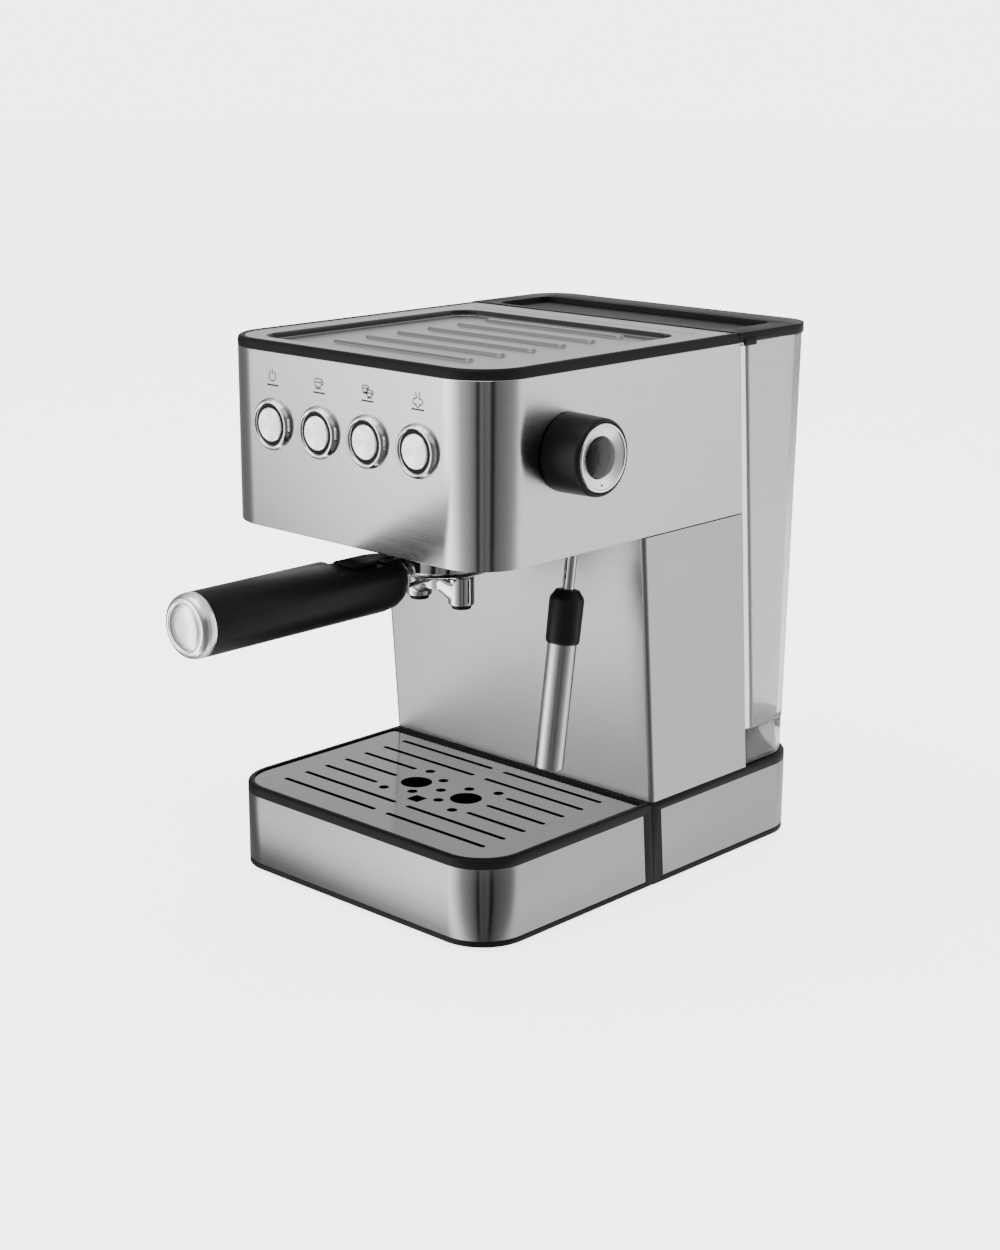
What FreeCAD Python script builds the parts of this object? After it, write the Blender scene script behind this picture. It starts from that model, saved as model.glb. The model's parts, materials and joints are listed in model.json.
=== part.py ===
"""Pump espresso machine with removable tank, drip tray, filter holder and steam wand.

Millimetres, +Z up, +X to the machine's right as its user sees it, -Y towards the user.
The origin lies on the surface the rubber feet stand on, under the middle of the cup area.
"""
import FreeCAD, Part
import math
import os
import Sketcher
from FreeCAD import Placement, Rotation, Vector

doc = FreeCAD.newDocument("espresso_machine")

SIZES = {
    # outside of the base, column and head
    "base_width": 207.0,
    "head_width": 206.5,
    "front_y": -138.0,
    "back_y": 144.0,
    "base_radius": 28.0,
    "head_radius": 30.0,
    "tank_radius": 20.0,
    "foot_height": 2.5,
    "band_bottom": 6.0,
    "band_top": 47.0,
    "base_top": 52.7,
    "head_bottom": 208.5,
    "rim_bottom": 306.7,
    "head_top": 312.2,
    # planes that lean towards the user as they rise; each y is measured at base_top
    "lean": 0.08,
    "seam_y": -1.5,
    "column_y": -0.7,
    "rear_seam_y": 87.5,
    "tray_band_end_y": -8.9,
    "rear_band_start_y": 7.0,
    # stock
    "sheet": 1.0,
    "wall": 3.5,
    "gap": 0.4,
    # drip tray
    "plate_width": 199.2,
    "plate_front_y": -134.4,
    "plate_back_y": -6.3,
    "plate_top": 51.8,
    "plate_thickness": 1.2,
    "slot_width": 3.2,
    "slot_pitch": 16.0,
    # brewing group and filter holder
    "group_y": -66.0,
    "holder_radius": 33.0,
    "holder_bottom": 184.3,
    "holder_top": 220.8,
    "handle_z": 185.0,
    "handle_radius": 17.2,
    "handle_start_y": -103.0,
    "handle_length": 138.0,
    "spout_x": 16.6,
    # controls
    "button_pitch": 37.2,
    "button_z": 267.3,
    "cap_radius": 9.2,
    "bezel_radius": 14.5,
    "knob_y": -77.3,
    "knob_z": 265.0,
    "knob_radius": 21.0,
    # steam wand
    "wand_x": 78.0,
    "wand_y": -42.7,
    "wand_z": 206.0,
    "wand_tilt": 8.1,
    "sleeve_radius": 8.05,
    # water tank
    "tank_width": 204.6,
    "tank_back_y": 141.2,
    "tank_foot_back_y": 137.0,
    "tank_floor": 74.5,
    "tank_top": 306.3,
    "outlet_y": 112.0,
}

sheet = doc.addObject("Spreadsheet::Sheet", "Sizes")
for row, (alias, number) in enumerate(SIZES.items(), start=1):
    sheet.set(f"A{row}", alias.replace("_", " "))
    sheet.set(f"B{row}", str(number))
    sheet.setAlias(f"B{row}", alias)
doc.recompute()


class Size:
    """A number together with the spreadsheet expression that gives it."""

    def __init__(self, number, text=None):
        self.number = float(number)
        self.text = text or f"({self.number:.4f})"

    def _with(self, other, sign, number):
        return Size(number, f"({self.text} {sign} {other.text})")

    def __add__(self, other):
        other = size(other)
        return self._with(other, "+", self.number + other.number)

    def __radd__(self, other):
        return size(other) + self

    def __sub__(self, other):
        other = size(other)
        return self._with(other, "-", self.number - other.number)

    def __rsub__(self, other):
        return size(other) - self

    def __mul__(self, other):
        other = size(other)
        return self._with(other, "*", self.number * other.number)

    def __rmul__(self, other):
        return size(other) * self

    def __truediv__(self, other):
        other = size(other)
        return self._with(other, "/", self.number / other.number)

    def __neg__(self):
        return size(0) - self


def size(value):
    return value if isinstance(value, Size) else Size(value)


class Named:
    """Gives each spreadsheet cell as a Size: cell.base_top and so on."""

    def __getattr__(self, alias):
        return Size(SIZES[alias], "Sizes." + alias)


cell = Named()
X_AXIS = Vector(1, 0, 0)
TURNS = {
    "+z": Rotation(),
    "-z": Rotation(X_AXIS, 180),
    "+y": Rotation(X_AXIS, -90),
    "-y": Rotation(X_AXIS, 90),
    "+x": Rotation(Vector(0, 1, 0), 90),
    "-x": Rotation(Vector(0, 1, 0), -90),
}
NEAR = 1e-6


def bind(item, path, value):
    item.setExpression(path, size(value).text)


def place(item, x=0, y=0, z=0, turn=None):
    item.Placement = Placement(Vector(), turn or Rotation())
    for letter, value in zip("xyz", (x, y, z)):
        bind(item, "Placement.Base." + letter, value)
    return item


def box(label, left, right, front, back, bottom, top):
    item = doc.addObject("Part::Box", label)
    bind(item, "Length", size(right) - left)
    bind(item, "Width", size(back) - front)
    bind(item, "Height", size(top) - bottom)
    return place(item, left, front, bottom)


def rod(label, radius, length, x, y, z, direction="+z"):
    item = doc.addObject("Part::Cylinder", label)
    bind(item, "Radius", radius)
    bind(item, "Height", length)
    return place(item, x, y, z, TURNS[direction])


def ball(label, radius, x, y, z):
    item = doc.addObject("Part::Sphere", label)
    bind(item, "Radius", radius)
    return place(item, x, y, z)


def fuse(label, *items):
    item = doc.addObject("Part::MultiFuse", label)
    item.Shapes = list(items)
    return item


def cut(label, base, *tools):
    item = doc.addObject("Part::Cut", label)
    item.Base = base
    item.Tool = tools[0] if len(tools) == 1 else fuse(label + "_tools", *tools)
    return item


def common(label, base, tool):
    item = doc.addObject("Part::Common", label)
    item.Base = base
    item.Tool = tool
    return item


def group(label, *items):
    """Separate identical solids that share one node."""
    item = doc.addObject("Part::Compound", label)
    item.Links = list(items)
    return item


def origin_plane(body, role):
    return next(feature for feature in body.Origin.OriginFeatures if feature.Role == role)


def fix_point(sketch, line, end, x, y):
    """Tie a line's end to its place, on an axis where that place is zero."""
    x, y = size(x), size(y)
    if abs(x.number) < NEAR and abs(y.number) < NEAR:
        sketch.addConstraint(Sketcher.Constraint("Coincident", line, end, -1, 1))
        return
    for kind, axis, value in (("DistanceX", -2, x), ("DistanceY", -1, y)):
        if abs(value.number) < NEAR:
            sketch.addConstraint(Sketcher.Constraint("PointOnObject", line, end, axis))
            continue
        index = sketch.addConstraint(
            Sketcher.Constraint(kind, -1, 1, line, end, value.number))
        sketch.setExpression(f"Constraints[{index}]", value.text)


def draw_polygon(sketch, points):
    """A closed outline of straight lines through points."""
    corners = [Vector(size(x).number, size(y).number, 0) for x, y in points]
    lines = []
    for here, there in zip(corners, corners[1:] + corners[:1]):
        lines.append(sketch.addGeometry(Part.LineSegment(here, there), False))
    for line, following in zip(lines, lines[1:] + lines[:1]):
        sketch.addConstraint(Sketcher.Constraint("Coincident", line, 2, following, 1))
    for line, (x, y) in zip(lines, points):
        fix_point(sketch, line, 1, x, y)


def draw_outline(sketch, left, right, front, back, front_radius, back_radius):
    """A closed rectangle with one radius on its front corners and one on its back ones."""
    left, right, front, back = size(left), size(right), size(front), size(back)
    radii = [size(front_radius)] * 2 + [size(back_radius)] * 2
    corners = [
        (left.number, front.number), (right.number, front.number),
        (right.number, back.number), (left.number, back.number)]
    ways = [(1, 0), (0, 1), (-1, 0), (0, -1)]
    lines = []
    arcs = []
    for index in range(4):
        start, end, way = corners[index], corners[(index + 1) % 4], ways[index]
        lead, trail = radii[index].number, radii[(index + 1) % 4].number
        first = Vector(start[0] + lead * way[0], start[1] + lead * way[1], 0)
        last = Vector(end[0] - trail * way[0], end[1] - trail * way[1], 0)
        lines.append(sketch.addGeometry(Part.LineSegment(first, last), False))
    for index in range(4):
        corner, radius = corners[(index + 1) % 4], radii[(index + 1) % 4].number
        way, following = ways[index], ways[(index + 1) % 4]
        centre = Vector(
            corner[0] - radius * way[0] + radius * following[0],
            corner[1] - radius * way[1] + radius * following[1], 0)
        begin = math.pi * (index - 1) / 2
        circle = Part.Circle(centre, Vector(0, 0, 1), radius)
        arcs.append(sketch.addGeometry(Part.ArcOfCircle(circle, begin, begin + math.pi / 2), False))
    for index in range(4):
        line, arc, following = lines[index], arcs[index], lines[(index + 1) % 4]
        sketch.addConstraint(Sketcher.Constraint("Tangent", line, 2, arc, 1))
        sketch.addConstraint(Sketcher.Constraint("Tangent", arc, 2, following, 1))
        kind = "Vertical" if index % 2 else "Horizontal"
        sketch.addConstraint(Sketcher.Constraint(kind, line))
        bound = sketch.addConstraint(
            Sketcher.Constraint("Radius", arc, radii[(index + 1) % 4].number))
        sketch.setExpression(f"Constraints[{bound}]", radii[(index + 1) % 4].text)
    for line, kind, value in (
            (lines[0], "DistanceY", front), (lines[1], "DistanceX", right),
            (lines[2], "DistanceY", back), (lines[3], "DistanceX", left)):
        bound = sketch.addConstraint(Sketcher.Constraint(kind, -1, 1, line, 1, value.number))
        sketch.setExpression(f"Constraints[{bound}]", value.text)


def new_sketch(body, role):
    sketch = body.newObject("Sketcher::SketchObject", body.Name + "_sketch")
    sketch.AttachmentSupport = [(origin_plane(body, role), "")]
    sketch.MapMode = "FlatFace"
    return sketch


def prism(label, left, right, front, back, front_radius, back_radius, bottom, top):
    """An upright block with rounded corners."""
    body = doc.addObject("PartDesign::Body", label)
    sketch = new_sketch(body, "XY_Plane")
    draw_outline(sketch, left, right, front, back, front_radius, back_radius)
    pad = body.newObject("PartDesign::Pad", label + "_pad")
    pad.Profile = sketch
    bind(pad, "Length", size(top) - bottom)
    return place(body, 0, 0, bottom)


def turned(label, profile, x, y, z, direction="+z"):
    """A turned piece. profile runs round its half section as (radius, height) pairs."""
    body = doc.addObject("PartDesign::Body", label)
    sketch = new_sketch(body, "XZ_Plane")
    draw_polygon(sketch, profile)
    turn = body.newObject("PartDesign::Revolution", label + "_turn")
    turn.Profile = sketch
    turn.ReferenceAxis = (sketch, ["V_Axis"])
    turn.Angle = 360
    return place(body, x, y, z, TURNS[direction])


REACH = 400.0


def leaning_y(y, z):
    """Where a leaning plane, y at base_top, has got to at height z."""
    return size(y) - cell.lean * (size(z) - cell.base_top)


def behind(label, y):
    """All the space behind a leaning plane."""
    item = box(label, -REACH / 2, REACH / 2, 0, REACH, 0, 2 * REACH)
    start = -REACH / 4
    place(item, -REACH / 2, leaning_y(y, start), start, Rotation(X_AXIS, 5))
    item.setExpression("Placement.Rotation.Angle", "atan(Sizes.lean)")
    return item


def ahead(label, y):
    """All the space in front of a leaning plane."""
    item = box(label, -REACH / 2, REACH / 2, 0, REACH, 0, 2 * REACH)
    place(item, -REACH / 2, leaning_y(y, REACH), REACH, Rotation(X_AXIS, 185))
    item.setExpression("Placement.Rotation.Angle", "180 deg + atan(Sizes.lean)")
    return item


def base_block(label, inset, bottom, top):
    """The outline of the base, inset all round."""
    half = cell.base_width / 2 - inset
    radius = cell.base_radius - inset
    return prism(
        label, -half, half, cell.front_y + inset, cell.back_y - inset, radius, radius, bottom, top)


def head_block(label, inset, bottom, top):
    """The outline of the head, inset at its front and sides and open-ended at the rear."""
    half = cell.head_width / 2 - inset
    radius = cell.head_radius - inset
    return prism(label, -half, half, cell.front_y + inset, 130, radius, 10, bottom, top)


def copies(make, places):
    """One solid from make(x, y) for each place."""
    return [make(x, y) for x, y in places]


def tube(label, points, radius, bore):
    """A bent tube: straight runs joined by arcs as large as the runs allow."""
    path = [Vector(*point) for point in points]
    edges = []
    here = path[0]
    for before, corner, after in zip(path, path[1:], path[2:]):
        arriving = corner - before
        leaving = after - corner
        turn = arriving.getAngle(leaving)
        reach = 0.45 * min(arriving.Length, leaving.Length)
        bend = reach / math.tan(turn / 2)
        arriving.normalize()
        leaving.normalize()
        start = corner - arriving * reach
        end = corner + leaving * reach
        inward = (leaving - arriving).normalize()
        middle = corner + inward * (bend / math.cos(turn / 2) - bend)
        edges.append(Part.LineSegment(here, start).toShape())
        edges.append(Part.Arc(start, middle, end).toShape())
        here = end
    edges.append(Part.LineSegment(here, path[-1]).toShape())
    spine = Part.Wire(edges)
    heading = path[1] - path[0]
    solids = []
    for ring in (radius, bore):
        circle = Part.Wire(Part.Circle(path[0], heading, ring).toShape())
        solids.append(spine.makePipeShell([circle], True, False))
    item = doc.addObject("Part::Feature", label)
    item.Shape = solids[0].cut(solids[1])
    return item


nodes = {}


def keep(node, item):
    """Name a finished sub-part."""
    item.Label = node
    nodes[node] = item
    return item


# --- base -----------------------------------------------------------------------------------

SCREWS = [(-60, 22), (60, 22), (-60, 128), (60, 128)]
PLATE_HALF = 85.0
plate_bottom = cell.foot_height
plate_surface = cell.foot_height + 1.5
skirt_bottom = cell.foot_height + 0.3


def make_base_plate():
    feet = copies(
        lambda x, y: rod("foot", 9, cell.foot_height, x, y, 0),
        [(-74, -104), (74, -104), (-74, 116), (74, 116)])
    keep("rubber_feet", group("feet", *feet))
    sheet_metal = box("plate_blank", -PLATE_HALF, PLATE_HALF, -118, 134, plate_bottom, plate_surface)
    holes = copies(lambda x, y: rod("screw_way", 1.8, 10, x, y, 0), SCREWS)
    keep("base_plate", cut("plate_drilled", sheet_metal, *holes))

    def screw(x, y):
        head_height = 1.3
        return turned("base_screw", [
            (0, 0), (3.5, 0), (3.5, head_height), (1.5, head_height), (1.5, 12), (0, 12)],
            x, y, cell.foot_height - head_height)
    keep("housing_screws", group("screws", *copies(screw, SCREWS)))


GLAND = (60.0, 24.0)
PUMP_Y = 40.0
PUMP_Z = 88.0
RISER_X = 62.0


def band_ring(label):
    """The steel sheet that wraps the base, as one closed ring."""
    return cut(
        label, base_block("ring_outside", 0, cell.band_bottom, cell.band_top),
        base_block("ring_inside", cell.sheet, cell.band_bottom - 1, cell.band_top + 1))


def make_rear_base():
    gland_x, gland_z = GLAND
    gland_way = rod("gland_way", 7, 12, gland_x, cell.back_y - 8, gland_z, "+y")
    band = cut("rear_band_cut", band_ring("rear_ring"), ahead("rear_ahead", cell.rear_band_start_y), gland_way)
    keep("rear_band", band)
    blank = cut(
        "pan_blank", base_block("pan_outside", 0, cell.foot_height, cell.base_top),
        ahead("pan_ahead", cell.seam_y + cell.gap / 2))
    roof = cell.base_top - 3
    hollow = cut(
        "pan_hollow", base_block("pan_inside", cell.wall, cell.foot_height - 1, roof),
        ahead("hollow_ahead", cell.seam_y + 3.2))
    slot = box("plate_way", -PLATE_HALF - 1, PLATE_HALF + 1, -30, 12, 1, plate_surface + 0.3)
    shell = cut(
        "pan_shell", blank, hollow, slot, band,
        rod("band_gland_way", 7, 12, gland_x, cell.back_y - 8, gland_z, "+y"),
        rod("suction_way", 4.5, 10, -RISER_X, PUMP_Y, roof - 3),
        rod("outlet_way", 4.6, 10, 0, cell.outlet_y, roof - 3))

    def boss(x, y):
        return cut(
            "boss", rod("boss_post", 5, roof + 1 - plate_surface, x, y, plate_surface),
            rod("boss_hole", 1.6, 11, x, y, plate_surface - 1))
    keep("base_pan", fuse("pan_with_bosses", shell, *copies(boss, SCREWS)))
    keep("cord_gland", turned("gland", [
        (3.6, 0), (6.9, 0), (6.9, 8), (10, 8), (10, 9.6), (9, 10.6), (3.6, 10.6)],
        gland_x, cell.back_y - 8, gland_z, "+y"))


# --- drip tray ------------------------------------------------------------------------------

def make_tray():
    band = cut("tray_band_cut", band_ring("tray_ring"), behind("tray_behind", cell.tray_band_end_y))
    keep("tray_band", band)
    blank = cut(
        "tub_blank", base_block("tub_outside", 0, skirt_bottom, cell.base_top),
        behind("tub_behind", cell.seam_y - cell.gap / 2))
    half = cell.base_width / 2 - cell.wall
    cavity = prism(
        "tub_cavity", -half, half, cell.front_y + cell.wall, -9.5, cell.base_radius - cell.wall, 8,
        8, cell.base_top + 1)
    seat = cell.plate_top - cell.plate_thickness - 0.3
    opening_half = cell.plate_width / 2 + cell.gap
    opening = prism(
        "tub_opening", -opening_half, opening_half, cell.plate_front_y - cell.gap,
        cell.plate_back_y + cell.gap, 25, 3.4, seat, cell.base_top + 1)
    plate_way = box("tub_plate_way", -PLATE_HALF - 1, PLATE_HALF + 1, -119.5, 20, 1, plate_surface + 0.3)
    rear_groove = box("tub_groove", -96, 96, -7.5, -4.2, 5.5, cell.base_top - 5)
    shell = cut("tub_shell", blank, band, cavity, opening, plate_way, rear_groove)
    ribs = []
    for side in (-1, 1):
        for y in (-92, -52, -18):
            inner = side * 97.0
            outer = side * 101.0
            ribs.append(box("tub_rib", min(inner, outer), max(inner, outer), y - 1.5, y + 1.5, 7.5, seat))
        for y in (-136.0, -13.0):
            ribs.append(box("tub_rib", side * 50 - 1.5, side * 50 + 1.5, y, y + 4, 7.5, seat))
    keep("tray_tub", fuse("tub_with_ribs", shell, *ribs))


SLOT_OUTER = 79.0
SLOT_INNER = 6.0
SLOT_SHORT = 38.0
SPOUT_HOLE = 9.2
SMALL_HOLES = [(0, 0), (10.5, 12.7), (10.5, -12.7), (27.6, 19), (27.6, -19)]


def make_drip_plate():
    half = cell.plate_width / 2
    blank = prism(
        "grid_blank", -half, half, cell.plate_front_y, cell.plate_back_y, 24.6, 3,
        cell.plate_top - cell.plate_thickness, cell.plate_top)
    low = cell.plate_top - 3
    high = cell.plate_top + 1
    tools = []
    middle = cell.group_y
    for row in range(-3, 4):
        y = middle + cell.slot_pitch * row
        start = SLOT_SHORT if abs(row) < 2 else SLOT_INNER
        for side in (-1, 1):
            ends = sorted((side * start, side * SLOT_OUTER))
            tools.append(box(
                "slot", ends[0], ends[1], y - cell.slot_width / 2, y + cell.slot_width / 2, low, high))
            for end in ends:
                tools.append(rod("slot_end", cell.slot_width / 2, 4, end, y, low))
    for x in (-20, 20):
        tools.append(rod("spout_hole", SPOUT_HOLE, 4, x, middle, low))
    for x, y in SMALL_HOLES:
        for side in ((-1, 1) if x else (1,)):
            tools.append(rod("small_hole", 3, 4, side * x, middle + y, low))
    tools.append(box("lift_hole", -4.3, 4.3, middle - 23.8, middle - 15.2, low, high))
    keep("drip_plate", cut("grid", blank, *tools))


# --- column and head ------------------------------------------------------------------------

def leaning_sleeve(label, inset, start_y, end_y):
    """A block between two leaning planes, with its front edges rounded."""
    half = cell.head_width / 2 - inset
    bottom = cell.base_top - 30
    depth = (size(end_y) - start_y) * math.cos(math.atan(SIZES["lean"]))
    item = prism(label, -half, half, inset + 1, depth + 1, 3 - inset, 1, 0, 220)
    place(item, 0, leaning_y(start_y, bottom) - 1, bottom, Rotation(X_AXIS, 5))
    item.setExpression("Placement.Rotation.Angle", "atan(Sizes.lean)")
    return item


def make_column():
    wall = cut(
        "column_sleeve", leaning_sleeve("column_outside", 0, cell.column_y, cell.rear_seam_y),
        leaning_sleeve("column_inside", cell.sheet, cell.column_y, cell.rear_seam_y + 20))
    level = box(
        "column_level", -REACH / 2, REACH / 2, -60, 130, cell.base_top, cell.head_bottom - cell.gap)
    keep("column_panel", common("column_trimmed", wall, level))
    half = cell.head_width / 2 - cell.sheet - 0.1
    slab = box("wall_slab", -half, half, 40, 120, cell.base_top, cell.rim_bottom - 0.1)
    keep("back_wall", cut(
        "wall_cut", slab, behind("wall_behind", cell.rear_seam_y),
        ahead("wall_ahead", cell.rear_seam_y - 2.5)))


def button_places():
    return [cell.button_pitch * step for step in (-1.5, -0.5, 0.5, 1.5)]


def make_head():
    sheet_metal = cut(
        "head_sheet", head_block("head_outside", 0, cell.head_bottom, cell.rim_bottom),
        head_block("head_inside", cell.sheet, cell.head_bottom - 1, cell.rim_bottom + 1))
    holes = [
        rod("button_way", 12.4, 6, x, cell.front_y - 2, cell.button_z, "+y") for x in button_places()]
    holes.append(rod("spindle_way", 5.5, 6, cell.head_width / 2 - 3, cell.knob_y, cell.knob_z, "+x"))
    keep("head_shell", cut("head_cut", sheet_metal, behind("head_behind", cell.rear_seam_y), *holes))
    ledge = cell.rim_bottom + 3.9
    keep("head_rim", cut(
        "rim_cut", head_block("rim_outside", 0, cell.rim_bottom, cell.head_top),
        head_block("rim_lower", 6.2, cell.rim_bottom - 1, ledge + 1),
        head_block("rim_upper", 3.4, ledge, cell.head_top + 1),
        behind("rim_behind", cell.rear_seam_y)))
    floor_bottom = cell.head_bottom + 0.2
    keep("head_floor", cut(
        "floor_cut", head_block("floor_blank", cell.sheet + 0.1, floor_bottom, floor_bottom + 2.5),
        box("floor_trim", -REACH / 2, REACH / 2, -11, 200, floor_bottom - 1, floor_bottom + 4),
        rod("group_way", 44.4, 6, 0, cell.group_y, floor_bottom - 1),
        rod("socket_way", 9.3, 6, cell.wand_x, cell.wand_y, floor_bottom - 1)))


RIB_PITCH = 24.3
FIRST_RIB_Y = -94.6


def make_cup_plate():
    surface = cell.head_top - 0.4
    pan_floor = surface - 3.4
    flange = cut(
        "cup_flange", head_block("cup_flange_blank", 3.8, surface - cell.sheet, surface),
        behind("cup_behind", cell.rear_seam_y - cell.gap))
    pan = prism("cup_pan", -85, 85, -126, 41, 15, 15, pan_floor - cell.sheet, surface - 0.5)
    recess = prism("cup_recess", -84, 84, -125, 40, 14, 14, pan_floor, surface + 1)
    dish = cut("cup_dish", fuse("cup_blank", flange, pan), recess)
    ribs = [
        prism("cup_rib", -52, 52, FIRST_RIB_Y + RIB_PITCH * row - 3, FIRST_RIB_Y + RIB_PITCH * row + 3,
              2.8, 2.8, pan_floor - 0.2, pan_floor + 1.5)
        for row in range(6)]
    keep("cup_plate", fuse("cup_ribbed", dish, *ribs))


# --- controls -------------------------------------------------------------------------------

def make_buttons():
    face = cell.front_y
    bezels = [
        turned("bezel", [
            (10, 0), (12.2, 0), (12.2, 4), (cell.bezel_radius, 4), (cell.bezel_radius, 5.2),
            (cell.bezel_radius - 1.1, 7), (12.2, 7.5), (11, 7.2), (10, 6.2)],
            x, face + 4, cell.button_z, "-y")
        for x in button_places()]
    keep("button_bezels", group("bezels", *bezels))
    radius = cell.cap_radius
    for name, x in zip(("power", "one_cup", "two_cups", "steam"), button_places()):
        cap = turned(name + "_cap", [
            (0, 0), (3.5, 0), (3.5, 5), (radius, 5), (radius, 9.6), (radius - 0.6, 10.2), (0, 10.2)],
            x, face + 7, cell.button_z, "-y")
        keep(name + "_button", cap)
    board_back = face + 15
    board = box(
        "board", -76, 76, board_back - 1.6, board_back, cell.button_z - 15, cell.button_z + 15)
    switches = [
        box("switch", x - 3.5, x + 3.5, board_back - 5.6, board_back - 1.4,
            cell.button_z - 3.5, cell.button_z + 3.5)
        for x in button_places()]
    keep("control_board", fuse("board_with_switches", board, *switches))
    keep("board_bracket", box(
        "bracket", -78, 78, board_back + 0.1, board_back + 1.1, cell.head_bottom + 2.7,
        cell.button_z + 18))


def make_knob():
    radius = cell.knob_radius
    start = cell.head_width / 2 + 0.65

    def piece(label, profile):
        return keep(label, turned(label + "_body", profile, start, cell.knob_y, cell.knob_z, "+x"))
    piece("steam_knob", [
        (3.1, 0), (radius - 0.6, 0), (radius, 0.8), (radius - 0.5, 23.2), (radius - 1.4, 24.4),
        (radius - 2.6, 24.4), (radius - 2.6, 22), (3.1, 22)])
    piece("knob_ring", [
        (10.8, 22), (radius - 2.8, 22), (radius - 2.8, 24.3), (radius - 3.6, 24.9), (11.2, 24.9),
        (10.8, 24.5)])
    piece("knob_cap", [(0, 22), (10.6, 22), (10.6, 23.8), (8, 25.2), (0, 25.8)])
    keep("valve_spindle", rod("spindle", 3, 45, start - 23.5, cell.knob_y, cell.knob_z, "+x"))
    keep("steam_valve", turned("valve", [
        (0, 0), (9, 0), (9, 18), (7, 18), (7, 26), (3.05, 26), (3.05, 5), (0, 5)],
        start - 30, cell.knob_y, cell.knob_z, "+x"))


# --- brewing group --------------------------------------------------------------------------

LUG_WIDTH = 22.0
LOCK_ANGLE = 45.0


def make_group():
    mouth = cell.head_bottom + 1
    bayonet = mouth + 4
    roof = mouth + 12.8
    blank = turned("group_blank", [
        (1.7, roof + 2.3), (24.6, roof + 2.3), (24.6, roof + 0.3), (25.4, roof + 0.3),
        (25.4, roof + 6), (34.2, roof + 6), (34.2, roof), (37, roof), (37, bayonet), (33.9, bayonet),
        (33.9, mouth), (44, mouth), (44, mouth + 5.5), (52, mouth + 5.5), (52, mouth + 9.5),
        (40, mouth + 9.5), (40, mouth + 24.5), (1.7, mouth + 24.5)], 0, cell.group_y, 0)
    entries = []
    for angle in (-LOCK_ANGLE, 180 - LOCK_ANGLE):
        entry = box("entry", 30, 37, -LUG_WIDTH / 2 - 2, LUG_WIDTH / 2 + 2, 0, 5.2)
        turn = Rotation(Vector(0, 0, 1), angle)
        corner = turn.multVec(Vector(30, -LUG_WIDTH / 2 - 2, 0))
        entries.append(place(entry, corner.x, cell.group_y + corner.y, mouth - 1, turn))
    keep("group_head", cut("group_cut", blank, *entries))
    keep("group_gasket", turned("gasket", [
        (25.6, roof), (34, roof), (34, roof + 5.9), (25.6, roof + 5.9)], 0, cell.group_y, 0))
    disc = turned("screen_disc", [
        (1.8, roof + 0.9), (24.3, roof + 0.9), (24.3, roof + 2.1), (1.8, roof + 2.1)],
        0, cell.group_y, 0)
    holes = []
    for count, ring in ((8, 9), (12, 15), (18, 20.5)):
        for step in range(count):
            turn = 2 * math.pi * step / count
            holes.append(rod(
                "screen_hole", 0.9, 4, ring * math.cos(turn), cell.group_y + ring * math.sin(turn),
                roof - 0.5))
    keep("shower_screen", cut("screen", disc, *holes))
    keep("shower_screw", turned("screen_screw", [
        (0, roof - 0.7), (3.5, roof - 0.7), (3.5, roof + 0.9), (1.5, roof + 0.9), (1.5, roof + 9),
        (0, roof + 9)], 0, cell.group_y, 0))
    keep("group_bracket", cut(
        "group_bracket_cut", box("group_bracket_blank", -55, 55, -118, 71.5, mouth + 3.5, mouth + 5.5),
        rod("group_bracket_way", 44.1, 6, 0, cell.group_y, mouth + 1)))


def make_boiler():
    bottom = cell.head_bottom + 25.5
    joint = bottom + 28
    top = joint + 22
    bolt_circle = 42.0
    places = []
    for step in range(6):
        turn = math.pi * (step + 0.5) / 3
        places.append((bolt_circle * math.cos(turn), cell.group_y + bolt_circle * math.sin(turn)))
    body = turned("boiler_cup", [
        (1.9, bottom), (40, bottom), (40, joint - 4), (46, joint - 4), (46, joint), (34, joint),
        (34, bottom + 5), (1.9, bottom + 5)], 0, cell.group_y, 0)
    lid = turned("boiler_dome", [
        (34, joint), (46, joint), (46, joint + 4), (38, joint + 4), (36, top - 6), (30, top), (0, top),
        (0, top - 4), (28, top - 4), (34, top - 10)], 0, cell.group_y, 0)

    def ways():
        return copies(lambda x, y: rod("bolt_way", 2, 16, x, y, joint - 8), places)
    keep("boiler_body", cut("boiler_body_cut", body, *ways()))
    keep("boiler_cover", cut("boiler_cover_cut", lid, *ways()))

    def bolt(x, y):
        return turned("bolt", [
            (0, joint - 6), (1.9, joint - 6), (1.9, joint + 4), (3.5, joint + 4), (3.5, joint + 7),
            (0, joint + 7)], x, y, 0)
    keep("boiler_bolts", group("bolts", *copies(bolt, places)))
    discs = [rod("thermostat", 7, 6, x, cell.group_y, top) for x in (-18, 18)]
    keep("thermostats", group("thermostat_pair", *discs))
    return SIZES["head_bottom"] + 25.5 + 28 + 22


def make_pump():
    keep("pump_body", turned("pump", [
        (0, 0), (10, 0), (10, 25), (14, 25), (14, 70), (10, 70), (10, 90), (0, 90)],
        -45, PUMP_Y, PUMP_Z, "+x"))
    coil = box("coil_block", -15, 20, PUMP_Y - 21, PUMP_Y + 21, PUMP_Z - 21, PUMP_Z + 21)
    keep("pump_coil", cut("coil", coil, rod("coil_way", 14.1, 60, -25, PUMP_Y, PUMP_Z, "+x")))
    cradles = []
    for x in (-42, 34):
        pad = box("cradle_block", x, x + 8, PUMP_Y - 12, PUMP_Y + 12, cell.base_top, PUMP_Z)
        cradles.append(cut(
            "cradle", pad, rod("cradle_way", 10.1, 12, x - 2, PUMP_Y, PUMP_Z, "+x")))
    keep("pump_mounts", group("cradles", *cradles))


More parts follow.
